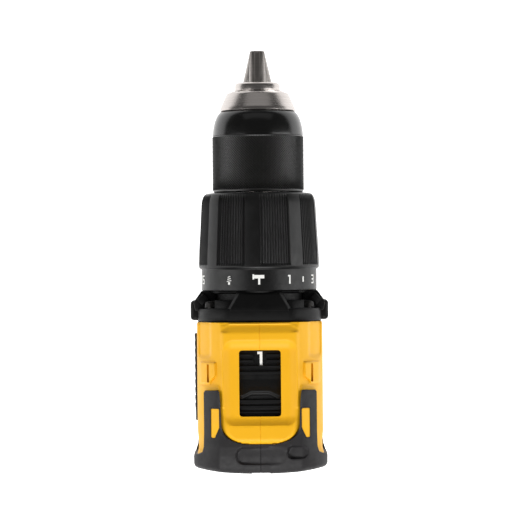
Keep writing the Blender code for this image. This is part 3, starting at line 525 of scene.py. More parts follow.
def follow(table, y):
    """Linear value along a table of falling y."""
    if y >= table[0][0]:
        return table[0][1]
    for (y0, a), (y1, b) in zip(table, table[1:]):
        if y >= y1:
            return a + (b - a) * (y0 - y) / (y0 - y1)
    return table[-1][1]


def ease(t):
    """0 to 1 with level ends."""
    t = min(1.0, max(0.0, t))
    return t * t * (3 - 2 * t)


def fade(value, low, high, soft):
    """1 inside low..high, falling smoothly to 0 over soft outside."""
    return 1.0 - ease(max(low - value, value - high, 0.0) / soft)


def edge(x, y, cx, cy, half_x, half_y, radius):
    """Distance to a rounded rectangle's outline, negative inside it."""
    qx = abs(x - cx) - half_x + radius
    qy = abs(y - cy) - half_y + radius
    return math.hypot(max(qx, 0.0), max(qy, 0.0)) + min(max(qx, qy), 0.0) - radius


def tongue_half(y):
    """Half width of the raised centre panel, which ends in a broad round."""
    if y > -65.0:
        return CREST
    t = min(1.0, (-65.0 - y) / 9.7)
    return CREST * (1 - t ** 2.6) ** (1 / 2.6)


def top_height(x, y, wide):
    """Height of the body's upper skin above the spindle."""
    ax = abs(x)
    side = 10.5
    deck = follow(DECK, y)
    outer = deck
    if ax > CREST:
        t = min(1.0, (ax - CREST) / (wide - CREST))
        outer = side + (deck - side) * (1 - t ** 1.35) ** (1 / 1.35)
    boss = fade(ax, 18.4 + 2.2 * ease((-46.6 - y) / 3.0), 24.2, 0.5) * fade(y, -49.8, -41.8, 0.6)
    outer += 1.5 * boss
    outer -= 1.6 * fade(ax, 20.6, 24.6, 0.9) * fade(y, -38.4 + 0.12 * (ax - 22.6) ** 2, -20.0, 2.2)
    outer += 0.5 * fade(ax, 17.0, 24.0, 0.8) * fade(y, -52.4, -51.2, 0.7)
    panel = follow(TOP, y) - 1.9 * (1 - (1 - min(1.0, max(0.0, -edge(x, y, 0.0, -49.75, 15.2, 17.4, 4.6))
                                                 / 3.9)) ** 1.8)
    half = tongue_half(y)
    inside = half - ax
    if y < -65.0:
        inside = min(inside, (y + 74.7) * 0.9)
    rim = ease((inside + 0.5) / 1.3)
    panel -= 0.9 * (1 - ease(inside / 2.2)) * (1.0 if y < -60.0 else 0.35)
    if y > -29.0:
        corner = ease((ax - 11.6) / 4.2) * 1.4
        panel = min(panel, follow(TOP, y + corner))
    return outer + (panel - outer) * rim


def rear_dip(x, y):
    """Shallow pockets moulded in the soft rear deck."""
    wide = 1 - ease(edge(x, y, 0.3, -79.6, 9.6, 2.9, 2.6) / 1.0)
    small = 1 - ease(edge(x, y, 15.2, -78.4, 3.6, 2.2, 1.8) / 0.9)
    return 1.3 * wide * (1.0 - 0.05 * (x + 9.0)) + (2.0 - 0.16 * (x - 11.8)) * small


def body_ring(y, off, inset, columns):
    """One ring of the motor body, grown by off and pulled in by inset."""
    full = follow(WIDE, y)
    wide = full + off - inset
    ring = []
    low = -12.0
    bent = ease((-76.0 - y) / 10.0)
    for k in range(columns):
        s = 1 - 2 * k / (columns - 1)
        x = wide * (0.7 * s + 0.3 * math.sin(math.pi / 2 * s))
        z = top_height(x * full / wide, y, full) + off - inset * 0.9 - rear_dip(x, y)
        ring.append((x, z))
    for k in range(1, 7):
        ring.append((-wide, 10.5 + off - inset * 0.9 + (low - 10.5) * k / 7))
    under = 26.0 + off - inset
    for k in range(31):
        s = -1 + 2 * k / 30
        x = wide * (0.5 * s + 0.5 * math.sin(math.pi / 2 * s))
        ring.append((x, low - (under + low) * (1 - min(1.0, abs(x / wide)) ** 2.3) ** (1 / 2.3)))
    for k in range(1, 7):
        ring.append((wide, low + (10.5 + off - inset * 0.9 - low) * k / 7))
    return [(x, y + 1.9 * (x / 26.0) ** 2 * bent, AXIS + z) for x, z in ring]


def body_form(name, off=0.0, step=0.5, columns=112, front=-25.2):
    """The motor body as one closed form."""
    rows = []
    radius = 1.9
    rear = REAR - off + radius
    count = max(2, round((front - rear) / step))
    for k in range(count + 1):
        rows.append(body_ring(front + (rear - front) * k / count, off, 0.0, columns))
    for k in range(1, 7):
        a = math.pi / 2 * k / 6
        rows.append(body_ring(rear - radius * math.sin(a), off, radius * (1 - math.cos(a)), columns))
    last = rows[-1]
    for pull in (0.85, 0.65, 0.45, 0.25):
        rows.append([(x * pull, y - 1.9 * (x / 26.0) ** 2 * (1 - pull * pull), AXIS + (z - AXIS) * pull)
                     for x, y, z in last])
    rows.append([(0.0, REAR - off, AXIS)] * len(last))
    return skin(name, rows)


GRIP = [(69.0, 19.0, 24.0, -57.0), (74.0, 17.6, 22.6, -57.6), (80.0, 16.6, 21.4, -57.4),
        (92.0, 16.4, 21.0, -56.0), (104.0, 16.8, 21.6, -54.6), (116.0, 16.6, 21.2, -52.6),
        (126.0, 16.4, 20.8, -50.8), (136.0, 17.0, 21.6, -50.2), (144.0, 18.6, 23.6, -50.4),
        (150.0, 21.0, 26.0, -50.6)]


def grip_form(name, off=0.0, around=72):
    """The handle: rounded sections that lean back and swell under the palm."""
    rows = []
    z = GRIP[0][0]
    while z <= GRIP[-1][0] + 1e-6:
        for a, b in zip(GRIP, GRIP[1:]):
            if a[0] <= z <= b[0]:
                t = (z - a[0]) / (b[0] - a[0])
                t = t * t * (3 - 2 * t)
                w, d, cy = (a[k] + (b[k] - a[k]) * t for k in (1, 2, 3))
                break
        ring = []
        for k in range(around):
            a = TAU * k / around
            c, s = math.cos(a), math.sin(a)
            power = 2.6 if s > 0 else 2.2
            r = (abs(c) ** power + abs(s) ** power) ** (-1 / power)
            ring.append(((w + off) * r * c, cy + (d + off) * r * s, z))
        rows.append(ring)
        z += 1.5
    return skin(name, rows)


def foot_form(name, off=0.0):
    """The foot that carries the pack."""
    w = 24.5 + off
    shape = rounded([(w, -80.0 - off), (w, 13.0 + off), (-w, 13.0 + off), (-w, -80.0 - off)], 8.0, 6)
    return slab(name, shape, "Z", 60.0, 77.0 + off, 1.6, 3)


# ---------------------------------------------------------------- operators


class DRILL_OT_stage(bpy.types.Operator):
    """Pale floor, soft lights and the camera above the drill"""

    bl_idname = "drill.stage"
    bl_label = "Studio"

    def execute(self, context):
        deselect()
        bpy.ops.mesh.primitive_plane_add(size=6.0, location=(0, 0, -0.0005))
        floor = bpy.context.object
        floor.name = "floor"
        # white card on a light table: an even pale glow with a faint paper tooth
        mat, tree, shader = blank("light_table_card", Roughness=0.9)
        place = add(tree, "ShaderNodeTexCoord").outputs["Object"]
        two_tone(tree, shader, noise(tree, place, 2.0), linear("#fdfdfd"), linear("#fafafa"))
        shader.inputs["Emission Color"].default_value = (1, 1, 1, 1)
        shader.inputs["Emission Strength"].default_value = 0.8
        floor.data.materials.append(mat)

        world = bpy.data.worlds.new("studio_air")
        context.scene.world = world
        world.use_nodes = True
        world.node_tree.nodes["Background"].inputs["Color"].default_value = (1, 1, 1, 1)
        world.node_tree.nodes["Background"].inputs["Strength"].default_value = 0.1
        context.scene.view_settings.view_transform = "Standard"

        lamps = (
            ("strip_left", (-1.0, -0.1, 0.75), (0.4, 1.2), 6.5),
            ("strip_right", (1.0, 0.0, 0.65), (0.35, 1.1), 6.0),
            ("bank_rear", (0.0, -1.2, 1.25), (1.3, 0.7), 26.0),
            ("bank_front", (0.0, 1.7, 1.2), (2.4, 1.0), 2.4),
        )
        for name, spot, size, power in lamps:
            lamp = bpy.data.lights.new(name, "AREA")
            lamp.shape = "RECTANGLE"
            lamp.size, lamp.size_y = size
            lamp.energy = power
            ob = bpy.data.objects.new(name, lamp)
            context.scene.collection.objects.link(ob)
            ob.location = spot
            ob.rotation_euler = (Vector((0, 0, 0.17)) - Vector(spot)).to_track_quat("-Z", "Y").to_euler()

        camera = bpy.data.cameras.new("camera")
        camera.lens = 174.0
        camera.sensor_width = 36.0
        camera.shift_x = 0.0029
        camera.clip_end = 20.0
        ob = bpy.data.objects.new("camera", camera)
        context.scene.collection.objects.link(ob)
        ob.location = (0, 0, (AXIS + 1050.0) * MM)
        ob.rotation_euler = (0, 0, math.radians(-0.53))
        context.scene.camera = ob
        return {"FINISHED"}


class DRILL_OT_chuck(bpy.types.Operator):
    """Chuck body, steel nose, jaws and knurled sleeve"""

    bl_idname = "drill.chuck"
    bl_label = "Chuck"

    def jaw_line(self, at, y):
        r = 2.7 + (74.0 - y) * math.tan(math.radians(15))
        return (r * math.cos(at), y, AXIS + r * math.sin(at))

    def execute(self, context):
        s = settings()
        body = turned("body", [
            (6.6, 28.8), (16.7, 28.8), (16.9, 29.1), (16.9, 32.4), (16.3, 32.9), (16.3, 49.6),
            (10.5, 49.6), (10.5, 56.8), (11.0, 57.2), (11.0, 70.3), (9.0, 70.3), (9.45, 70.7),
            (9.45, 72.6), (9.25, 73.3), (8.7, 73.8), (8.0, 74.0), (6.1, 74.0), (5.6, 73.7),
            (5.3, 73.2), (5.3, 42.0), (6.6, 41.0)], 96)
        for k in range(3):
            at = math.radians(90 + 120 * k)
            body = cut(body, rod("hole", self.jaw_line(at, 31.8), self.jaw_line(at, 92.0), 3.8, 40))
        finish(body, "chuck_body_front", "steel", "spindle", ["chuck_body"])

        nose = turned("nose", [
            (11.3, 62.1), (15.5, 62.1), (15.75, 62.35), (15.72, 63.2), (15.4, 63.9), (13.1, 69.0),
            (12.75, 69.5), (12.3, 69.75), (11.3, 69.75)], 160)
        finish(nose, "chuck_nose_cone", "steel", "spindle", ["chuck_nose"])

        for k in range(3):
            at = math.radians(90 + 120 * k)
            out = Vector((math.cos(at), 0.0, math.sin(at)))
            side = Vector((-math.sin(at), 0.0, math.cos(at)))
            mid = Vector((0.0, 0.0, AXIS))
            jaw = rod("jaw", self.jaw_line(at, 44.0), self.jaw_line(at, 96.0), 3.6, 56)
            rows = []
            for y in (52.0, 87.25):
                rows.append([tuple(mid + out * u + side * v + Vector((0, y, 0)))
                             for u, v in ((0.36, 0.35), (0.36, -0.35), (9.0, -15.3), (22.0, -15.3),
                                          (22.0, 15.3), (9.0, 15.3))])
            jaw = keep(jaw, skin("wedge", rows))
            rows = []
            for y, high, w in ((42.0, 30.0, 12.0), (74.0, 6.35, 4.5), (85.9, 3.2, 3.2),
                               (86.7, 2.9, 2.7), (87.3, 2.4, 2.0)):
                rows.append([tuple(mid + out * u + side * v + Vector((0, y, 0)))
                             for u, v in ((-2.0, -w), (high - 0.5, -w), (high, -w + 0.7),
                                          (high, w - 0.7), (high - 0.5, w), (-2.0, w))])
            jaw = keep(jaw, skin("tip", rows))
            finish(jaw, f"jaw_finish_{k + 1}", "jaw_steel", f"jaw_{k + 1}",
                   [f"jaw_{k + 1}"])

        columns = s.knurl_count * 2
        steps = 42
        base, rear, front = 18.8, 29.2, 51.5
        profile = [(17.6, 28.3), (18.3, 28.3), (18.7, 28.7)]
        profile += [(base, rear + (front - rear) * j / steps) for j in range(steps + 1)]
        profile += [(18.75, 51.8), (17.9, 51.8), (17.6, 50.0)]
        dome = [(18.87, 51.95), (18.86, 52.4), (18.82, 53.0), (18.7, 54.2), (18.5, 55.5), (18.2, 56.9),
                (17.85, 58.1), (17.4, 59.3), (16.9, 60.3), (16.4, 61.0), (15.95, 61.5), (15.6, 61.8),
                (15.2, 61.9)]
        grip = turned("sleeve", profile, columns)
        high = s.knurl_depth / MM
        for v in grip.data.vertices:
            x, y, z = v.co.x / MM, v.co.y / MM, v.co.z / MM - AXIS
            r = math.hypot(x, z)
            if abs(r - base) > 0.02 or not rear + 0.1 < y < front - 0.1:
                continue
            i = round(math.atan2(z, x) / TAU * columns)
            j = round((y - rear) / (front - rear) * steps)
            grow = 1 + (high if (i + j) % 2 == 0 else -high * 0.6) / r
            v.co.x *= grow
            v.co.z = (AXIS + z * grow) * MM
        edit_all(grip)
        bpy.ops.mesh.quads_convert_to_tris(quad_method="SHORTEST_DIAGONAL")
        end_edit()
        # the knurl band takes the lighter black whose base colour is a painted sheen
        finish(grip, "chuck_sleeve_knurl", "nylon_knurl_painted_sheen", "sleeve",
               ["chuck_sleeve"], 10.0)
        cap = turned("dome", [(17.0, 51.95)] + dome + [(14.6, 61.9), (16.2, 57.6), (16.9, 54.0)], 192)
        finish(cap, "chuck_sleeve_dome", "nylon_gloss", "sleeve")
        return {"FINISHED"}


class DRILL_OT_collar(bpy.types.Operator):
    """Clutch collar with ribs, flutes and a number ring"""

    bl_idname = "drill.collar"
    bl_label = "Clutch collar"

    def execute(self, context):
        s = settings()
        lobe = 10    # columns from the middle of a smooth rib to its edge
        zone = s.flutes * 4 + 2 * lobe
        count = s.rib_count * zone
        form = [(21.8, -12.32), (23.7, -12.32), (23.9, -12.1), (23.9, -4.0), (23.9, -3.7), (24.1, -3.4),
                (24.75, -3.1), (24.95, -2.7), (25.0, -2.2), (25.0, -1.8), (25.0, -1.2), (24.95, 1.0),
                (24.8, 5.0), (24.55, 9.0), (24.3, 13.0), (24.1, 17.0), (23.9, 21.0), (23.75, 23.6),
                (23.5, 25.2), (23.1, 26.4), (22.6, 27.3), (21.9, 27.8), (21.0, 28.0), (17.2, 28.0),
                (17.2, 25.6), (21.8, 25.6)]
        collar = turned("collar", form, count)
        depth = s.flute_depth / MM
        for v in collar.data.vertices:
            x, y, z = v.co.x / MM, v.co.y / MM, v.co.z / MM - AXIS
            r = math.hypot(x, z)
            if r < 21.95 or y < -1.9:
                continue
            turn = (math.degrees(math.atan2(x, z)) + 6.4) % 360
            k = round(turn / 360 * count) % zone
            if k > zone // 2:
                k -= zone
            past = abs(k) - lobe
            if past <= 0:
                continue
            gate = fade(y, -1.0, 26.0, 1.2)
            drop = 0.28 * min(1.0, past / 1.5) + depth * (0.0, 0.75, 1.0, 0.75)[past % 4]
            grow = 1 - drop * gate / r
            v.co.x *= grow
            v.co.z = (AXIS + z * grow) * MM
        finish(collar, "clutch_collar_grip", "nylon_black", "collar",
               ["clutch_collar"], 24.0)

        pieces = []
        for k in range(8):
            numeral = lettering(str(2 * k + 1), s.number_height / MM)
            pieces.append(self.wrap(numeral, 31.0 + 36.0 * k))
        for k in range(7):
            bar = block("bar", (-0.35, 0.35), (-1.1, 1.1), (-0.1, 0.1))
            pieces.append(self.wrap(in_millimetres(bar), 49.0 + 36.0 * k))
        pieces.append(self.wrap(self.hammer(), 0.0))
        pieces.append(self.wrap(self.twist_bit(), 329.0))
        marks = gather("marks", pieces)
        finish(marks, "clutch_numbers", "ink", "collar")
        return {"FINISHED"}

    def wrap(self, ob, turn):
        """Lay a flat mesh, still in millimetres, on the number ring."""
        edit_all(ob)
        bpy.ops.mesh.quads_convert_to_tris()
        bpy.ops.mesh.subdivide(number_cuts=2)
        end_edit()
        for v in ob.data.vertices:
            a = math.radians(turn) + v.co.x / RING
            r = RING + v.co.z * 0.5
            v.co = Vector((r * math.sin(a), -7.8 + v.co.y, AXIS + r * math.cos(a))) * MM
        return ob

    def hammer(self):
        """A plain hammer pictogram."""
        head = block("head", (-2.1, 2.1), (0.5, 1.9), (-0.1, 0.1))
        claw = block("claw", (-2.7, -2.0), (0.1, 2.2), (-0.1, 0.1))
        shaft = block("shaft", (-0.4, 0.4), (-2.0, 0.6), (-0.1, 0.1))
        return in_millimetres(gather("icon", [head, claw, shaft]))

    def twist_bit(self):
        """A plain twist-drill pictogram."""
        parts = [block("shank", (-0.45, 0.45), (-2.0, -0.9), (-0.1, 0.1))]
        for k in range(3):
            y = -0.8 + 0.85 * k
            w = 1.0 - 0.2 * k
            parts.append(slab("flight", [(-w, y), (w, y + 0.35), (w, y + 0.65), (-w, y + 0.3)], "Z",
                              -0.1, 0.1))
        return in_millimetres(gather("icon", parts))


class DRILL_OT_gear_case(bpy.types.Operator):
    """Black gear case between collar and motor body"""

    bl_idname = "drill.gear_case"
    bl_label = "Gear case"

    def execute(self, context):
        def outline(half_width, top):
            right = []
            for k in range(19):
                s = k / 18
                x = half_width * (0.6 * s + 0.4 * math.sin(math.pi / 2 * s))
                t = max(0.0, (x - 12.5) / (half_width - 12.5))
                right.append((x, AXIS + 10.0 + (top - 10.0) * (1 - t ** 1.6) ** (1 / 1.6)))
            for k in range(1, 16):
                s = 1 - k / 15
                x = half_width * math.sin(math.pi / 2 * s)
                z = -12.0 - (top - 12.0) * (1 - (x / half_width) ** 2.3) ** (1 / 2.3)
                right.append((x, AXIS + z))
            return right + [(-x, z) for x, z in reversed(right[1:-1])]

        case = slab("case", outline(25.5, 25.6), "Y", -24.9, -19.6, 0.5, 2)
        step = slab("step", outline(23.4, 22.8), "Y", -21.0, -16.2, 0.7, 2)
        case = fuse(case, step)
        neck = turned("neck", [(23.3, -12.4), (23.5, -12.6), (23.3, -13.1), (21.0, -13.6), (21.0, -19.4)],
                      96, solid=True)
        case = fuse(case, neck)
        hood_rows = []
        for y, w, z in ((-12.9, 8.6, 22.6), (-13.2, 9.5, 23.4), (-14.2, 9.7, 24.4), (-18.6, 12.3, 25.6),
                        (-20.5, 13.2, 25.9)):
            hood_rows.append([(w, y, AXIS + 16.0), (w, y, AXIS + z - 1.6), (w - 1.2, y, AXIS + z),
                              (-w + 1.2, y, AXIS + z), (-w, y, AXIS + z - 1.6), (-w, y, AXIS + 16.0)])
        case = fuse(case, soften(skin("hood", hood_rows), 0.3, 2))
        for side in (-1, 1):
            span = beside(side, 23.0, 28.5)
            case = fuse(case, block("ear", span, (-24.5, -16.3), (AXIS - 9.0, AXIS + 9.0), 1.4, 3))
            shoulder = slab("shoulder", [(18.0 * side, -20.6), (18.0 * side, -12.4), (23.9 * side, -12.4),
                                         (27.2 * side, -17.0), (26.4 * side, -20.6)], "Z",
                            AXIS - 8.0, AXIS + 12.0, 0.3, 2)
            case = fuse(case, shoulder)
            facet = slab("facet", rounded([(23.2 * side, -13.3), (25.6 * side, -16.0),
                                           (23.4 * side, -18.4), (21.0 * side, -15.7)], 0.3, 2), "Z",
                         AXIS + 8.0, AXIS + 13.8, 0.3, 2)
            case = fuse(case, facet)
        for x, z in CASE_SCREWS:
            case = cut(case, rod("well", (x, -19.4, AXIS + z), (x, -10.0, AXIS + z), 3.3, 32))
        case = cut(case, rod("bore", (0, -30.0, AXIS), (0, -16.0, AXIS), 19.9, 64))
        tube = turned("tube", [
            (19.8, -33.0), (20.9, -33.0), (20.9, -24.4), (20.2, -24.4), (20.2, -16.4), (21.3, -12.6),
            (21.3, -6.0), (16.5, -6.0), (16.5, 25.0), (11.2, 25.0), (11.2, 24.2), (13.2, 24.2),
            (13.2, -9.0), (19.8, -9.0)], 96)
        for side in (-1, 1):
            slot = block("slot", beside(side, 19.0, 24.4), (-30.4, -22.8),
                         (AXIS - 1.3, AXIS + 1.3))
            case = cut(case, duplicate(slot, "slot"))
            tube = cut(tube, slot)
        finish(tube, "gear_case_tube", "nylon_case", "tool")
        finish(case, "gear_case_shell", "nylon_case", "tool", ["gear_case"])
        for i, (x, z) in enumerate(CASE_SCREWS):
            screw = turned("screw", [(1.5, -36.0), (1.5, -19.0), (2.7, -19.0), (2.7, -17.4),
                                     (2.3, -16.8), (1.6, -16.6)], 32, solid=True,
                           centre=(x, AXIS + z))
            screw = cut(screw, rod("socket", (x, -17.8, AXIS + z), (x, -15.0, AXIS + z), 1.3, 6))
            finish(screw, f"case_screw_{i + 1}", "oxide", "tool",
                   [f"gear_case_screw_{i + 1}"])
        return {"FINISHED"}


def outer_form(name, off=0.0):
    """Motor body, handle and foot in one closed form."""
    form = fuse(body_form(name, off), grip_form("grip", off))
    return fuse(form, foot_form("foot", off))


def half(ob, side):
    """One side of the middle plane, closed there, with its rim eased so that the joint reads."""
    edit_all(ob)
    bpy.ops.mesh.bisect(plane_co=(0, 0, 0), plane_no=(side, 0, 0), use_fill=True, clear_inner=True,
                        threshold=0.002 * MM)
    bpy.ops.mesh.select_all(action="DESELECT")
    bpy.ops.mesh.select_mode(type="FACE")
    end_edit()
    points = ob.data.vertices
    for face in ob.data.polygons:
        face.select = all(abs(points[i].co.x) < CLEAN * MM for i in face.vertices)
    bpy.ops.object.mode_set(mode="EDIT")
    bpy.ops.mesh.region_to_loop()
    bpy.ops.mesh.bevel(offset=SEAM_EASE * MM, segments=1, affect="EDGES", clamp_overlap=False)
    bpy.ops.mesh.select_mode(type="VERT")
    end_edit()
    return tidy(ob, 0.002)


def split(ob):
    """The +X and -X halves of a skin."""
    left = duplicate(ob, "left")
    return half(ob, 1), half(left, -1)


class DRILL_OT_shell(bpy.types.Operator):
    """Yellow nylon shell in two halves, hollow, with selector window and openings"""

    bl_idname = "drill.shell"
    bl_label = "Shell"

    def execute(self, context):
        shell = outer_form("shell")
        shell = cut(shell, body_form("hollow", -WALL, 2.0, 30, -27.2))
        shell = cut(shell, rod("mouth", (0, -24.0, AXIS), (0, -30.0, AXIS), 23.2, 63))
        room = keep(grip_form("room", -2.2, 36), block("trim", (-40, 40), (-100, 30), (72.0, 149.0)))
        shell = cut(shell, room)
        shell = cut(shell, block("foot_room", (-22.2, 22.2), (-77.6, 10.6), (68.2, 75.4), 1.5, 2))
        shell = cut(shell, slab("channel", tee(15.1, 18.1, 59.0, 63.0, 66.8), "Y", -62.0, 16.0))
        window = rounded([(8.5, -63.5), (8.5, -36.5), (-8.5, -36.5), (-8.5, -63.5)], 1.4, 5)
        shell = cut(shell, slab("window", window, "Z", AXIS + 18.0, AXIS + 34.0))
        shell = cut(shell, block("track", (-9.8, 9.8), (-70.2, -31.2), (AXIS + 20.0, AXIS + 25.0)))
        shell = cut(shell, block("mouth", (-7.3, 7.3), (-45.0, -18.0), (109.2, 135.3), 1.2, 3))
        shell = cut(shell, block("slot", (-40, 40), (-43.4, -34.6), (136.1, 142.5), 1.0, 3))
        shell = cut(shell, block("pocket", (-4.3, 4.3), (4.0, 10.4), (73.2, 82.0), 0.6, 2))
        for side in (-1, 1):
            span = beside(side, 20.85, 21.7)
            shell = cut(shell, block("strap_slot", span, (-49.6, -42.2), (AXIS + 20.4, AXIS + 30.0)))
        for y, z in HOUSING_SCREWS:
            reach = 11.4 if z > 80 else 19.4
            shell = cut(shell, rod("well", (reach, y, z), (40.0, y, z), 3.0, 28))
        for k in range(4):
            y = -73.6 + 3.0 * k
            shell = cut(shell, block("vent", (-40, 40), (y, y + 1.5), (AXIS - 15.0, AXIS - 3.0), 0.6, 2))
        right, left = split(shell)
        finish(right, "shell_right", "nylon_yellow", "tool",
               ["housing_right"])
        finish(left, "shell_left", "nylon_yellow", "tool",
               ["housing_left"])
        return {"FINISHED"}


class DRILL_OT_rubber(bpy.types.Operator):
    """Soft overmould on the rear, along the shoulders and round the grip"""

    bl_idname = "drill.rubber"
    bl_label = "Rubber"

    def plan(self):
        """Outline of the soft zone seen from above: two arms and the rear deck."""
        half = [(29.5, -79.4), (25.7, -79.4), (24.0, -78.4), (23.3, -76.0), (23.1, -70.0), (23.1, -53.8),
                (22.5, -53.0), (17.4, -52.6), (16.7, -53.2), (16.2, -58.0), (16.0, -65.0)]
        for k in range(1, 15):
            y = -65.0 - 9.7 * (1 - (1 - k / 14) ** 2.2)
            half.append((tongue_half(y + 0.25) + 0.25 if k < 14 else 0.6, y - 0.15))
        return half + [(-x, y) for x, y in reversed(half)] + [(-29.5, -95.0), (29.5, -95.0)]

    def execute(self, context):
        cap = slab("cap", self.plan(), "Z", AXIS - 1.0, AXIS + 40.0)
        skirt = block("skirt", (-40, 40), (-95.0, -79.6), (AXIS - 30.0, AXIS + 2.0))
        zone = fuse(cap, skirt)
        shape = rounded([(-96.0, 85.0), (-47.0, 84.0), (-41.5, 96.0), (-43.0, 113.0), (-50.0, 130.0),
                         (-60.0, 140.0), (-66.0, 151.0), (-79.0, 157.0), (-96.0, 157.0)], 3.0, 5)
        zone = fuse(zone, slab("reach", shape, "X", -40.0, 40.0))
        rubber = keep(outer_form("rubber", OVERMOULD), zone)
        rubber = cut(rubber, outer_form("core"))
        for side in (-1, 1):
            pane = rounded([(16.7 * side, -60.0), (20.2 * side, -60.0), (20.2 * side, -72.2),
                            (18.6 * side, -72.2), (16.7 * side, -67.8)], 0.65, 4)
            rubber = cut(rubber, slab("pane", pane, "Z", AXIS + 5.0, AXIS + 40.0))
        for y, z in HOUSING_SCREWS[:2]:
            rubber = cut(rubber, rod("well", (8.0, y, z), (40.0, y, z), 3.3, 28))
        rubber = cut(rubber, block("notch", (-3.7, 3.7), (-90.0, -86.75), (AXIS - 16.0, AXIS + 40.0)))
        pads = []
        for side in (-1, 1):
            pad = rounded([(16.85 * side, -60.15), (20.05 * side, -60.15), (20.05 * side, -72.05),
                           (18.7 * side, -72.05), (16.85 * side, -67.85)], 0.55, 4)
            pads.append(slab("pad", pad, "Z", AXIS + 18.0, AXIS + 40.0))
        pads = keep(gather("pads", pads), body_form("pad_core", 1.15))
        finish(pads, "shell_pads", "nylon_yellow", "tool")
        right, left = split(rubber)
        finish(right, "rubber_right", "rubber", "tool", ["overmould_right"])
        finish(left, "rubber_left", "rubber", "tool", ["overmould_left"])
        return {"FINISHED"}


class DRILL_OT_controls(bpy.types.Operator):
    """Speed selector, trigger, direction button, lens, badge and shell screws"""

    bl_idname = "drill.controls"
    bl_label = "Controls"

    def ridge(self, y, left, right):
        """One grip ridge across the selector."""
        foot, top = AXIS + 23.8, AXIS + 24.8
        section = [(y + 0.75, foot), (y + 0.35, top), (y - 0.35, top), (y - 0.75, foot)]
        return slab("ridge", section, "X", left, right)

    def execute(self, context):
        s = settings()
        plate = block("plate", (-9.4, 9.4), (-69.5, -32.0), (AXIS + 22.9, AXIS + 23.9), 0.2, 2)
        pieces = [plate]
        pitch = s.ridge_pitch / MM
        for k in range(4):
            y = -38.6 - pitch * k
            spans = [(-8.6, 8.6)] if k > 1 else [(-8.6, -2.6), (2.6, 8.6)]
            pieces += [self.ridge(y, *span) for span in spans]
        for k in range(3):
            pieces.append(self.ridge(-57.2 - pitch * k, -8.6, 8.6))
        rows = []
        for x, back, low in ((-8.0, 1.9, 1.5), (-7.2, 1.8, 1.0), (-3.7, 0.1, 0.1), (3.7, 0.1, 0.1),
                             (7.2, 1.8, 1.0), (8.0, 1.9, 1.5)):
            rows.append([(x, y - back * share, AXIS + z - low * share) for y, z, share in (
                (-47.6, 23.4, 0.0), (-48.4, 23.9, 0.0), (-50.2, 24.6, 0.3), (-51.6, 25.8, 0.7),
                (-52.4, 26.9, 1.0), (-52.9, 27.2, 1.0), (-53.5, 27.1, 1.0), (-53.8, 26.5, 1.0),
                (-54.3, 26.4, 1.0), (-54.8, 25.4, 1.0), (-55.4, 23.4, 0.6))])
        crest = skin("crest", rows)
        pieces.append(crest)
        for y in (-36.4, -33.2):
            pieces.append(block("prong", (-3.0, 3.0), (y, y + 1.2), (AXIS + 21.4, AXIS + 23.2)))
        slider = gather("slider", pieces)
        finish(slider, "speed_slider", "nylon_black", "shifter",
               ["speed_selector"])
        one = lettering("1", 6.0)
        for v in one.data.vertices:
            v.co = Vector((v.co.x, -40.1 + v.co.y, AXIS + 23.95 + v.co.z)) * MM
        finish(one, "speed_number", "ink", "shifter")

        outline = [(-33.4, 110.0), (-22.0, 110.0), (-18.2, 110.8), (-16.4, 112.8), (-16.9, 115.5),
                   (-17.7, 118.5), (-18.0, 122.0), (-17.7, 126.0), (-16.8, 129.8), (-15.2, 133.0),
                   (-14.6, 134.2), (-15.4, 134.6), (-33.4, 134.6)]
        trigger = slab("trigger", outline, "X", -6.7, 6.7, 1.2, 4)
        finish(trigger, "trigger_blade", "nylon_black", "trigger",
               ["trigger"])
        button = block("button", (-21.6, 21.6), (-42.9, -35.1), (136.6, 142.0), 1.1, 3)
        for side in (-1, 1):
            for k in range(3):
                z = 138.2 + 1.1 * k
                groove = block("groove", beside(side, 21.2, 24.0), (-42.0, -36.0),
                               (z - 0.2, z + 0.2))
                button = cut(button, groove)
        finish(button, "direction_bar", "nylon_black", "direction",
               ["direction_button"])
        lens = block("lens", (-4.0, 4.0), (4.3, 10.1), (73.6, 78.3), 0.8, 3)
        finish(lens, "light_lens", "lens", "tool", ["led_lens"])

        badge = block("badge", (-26.75, -25.6), (-66.0, -30.0), (AXIS - 5.0, AXIS + 6.0), 0.35, 2)
        pieces = [badge]
        for k in range(10):
            y = -62.6 + 3.2 * k
            pieces.append(slab("hatch", [(y, AXIS - 3.6), (y + 1.3, AXIS - 3.6), (y + 3.9, AXIS + 4.6),
                                         (y + 2.6, AXIS + 4.6)], "X", -27.0, -26.6))
        badge = gather("badge", pieces)
        finish(badge, "side_plate", "nylon_black", "tool", ["side_badge"])
        for i, (y, z) in enumerate(HOUSING_SCREWS):
            head = 11.7 if z > 80 else 19.7
            screw = rod("screw", (-8.0, y, z), (head + 0.5, y, z), 1.5, 20)
            disc = soften(rod("disc", (head, y, z), (head + 2.0, y, z), 2.6, 32), 0.5, 2)
            disc = cut(disc, rod("socket", (head + 0.8, y, z), (head + 5.0, y, z), 1.2, 6))
            screw = fuse(screw, disc)
            finish(screw, f"shell_screw_{i + 1}", "oxide", "tool",
                   [f"housing_screw_{i + 1}"])
        return {"FINISHED"}


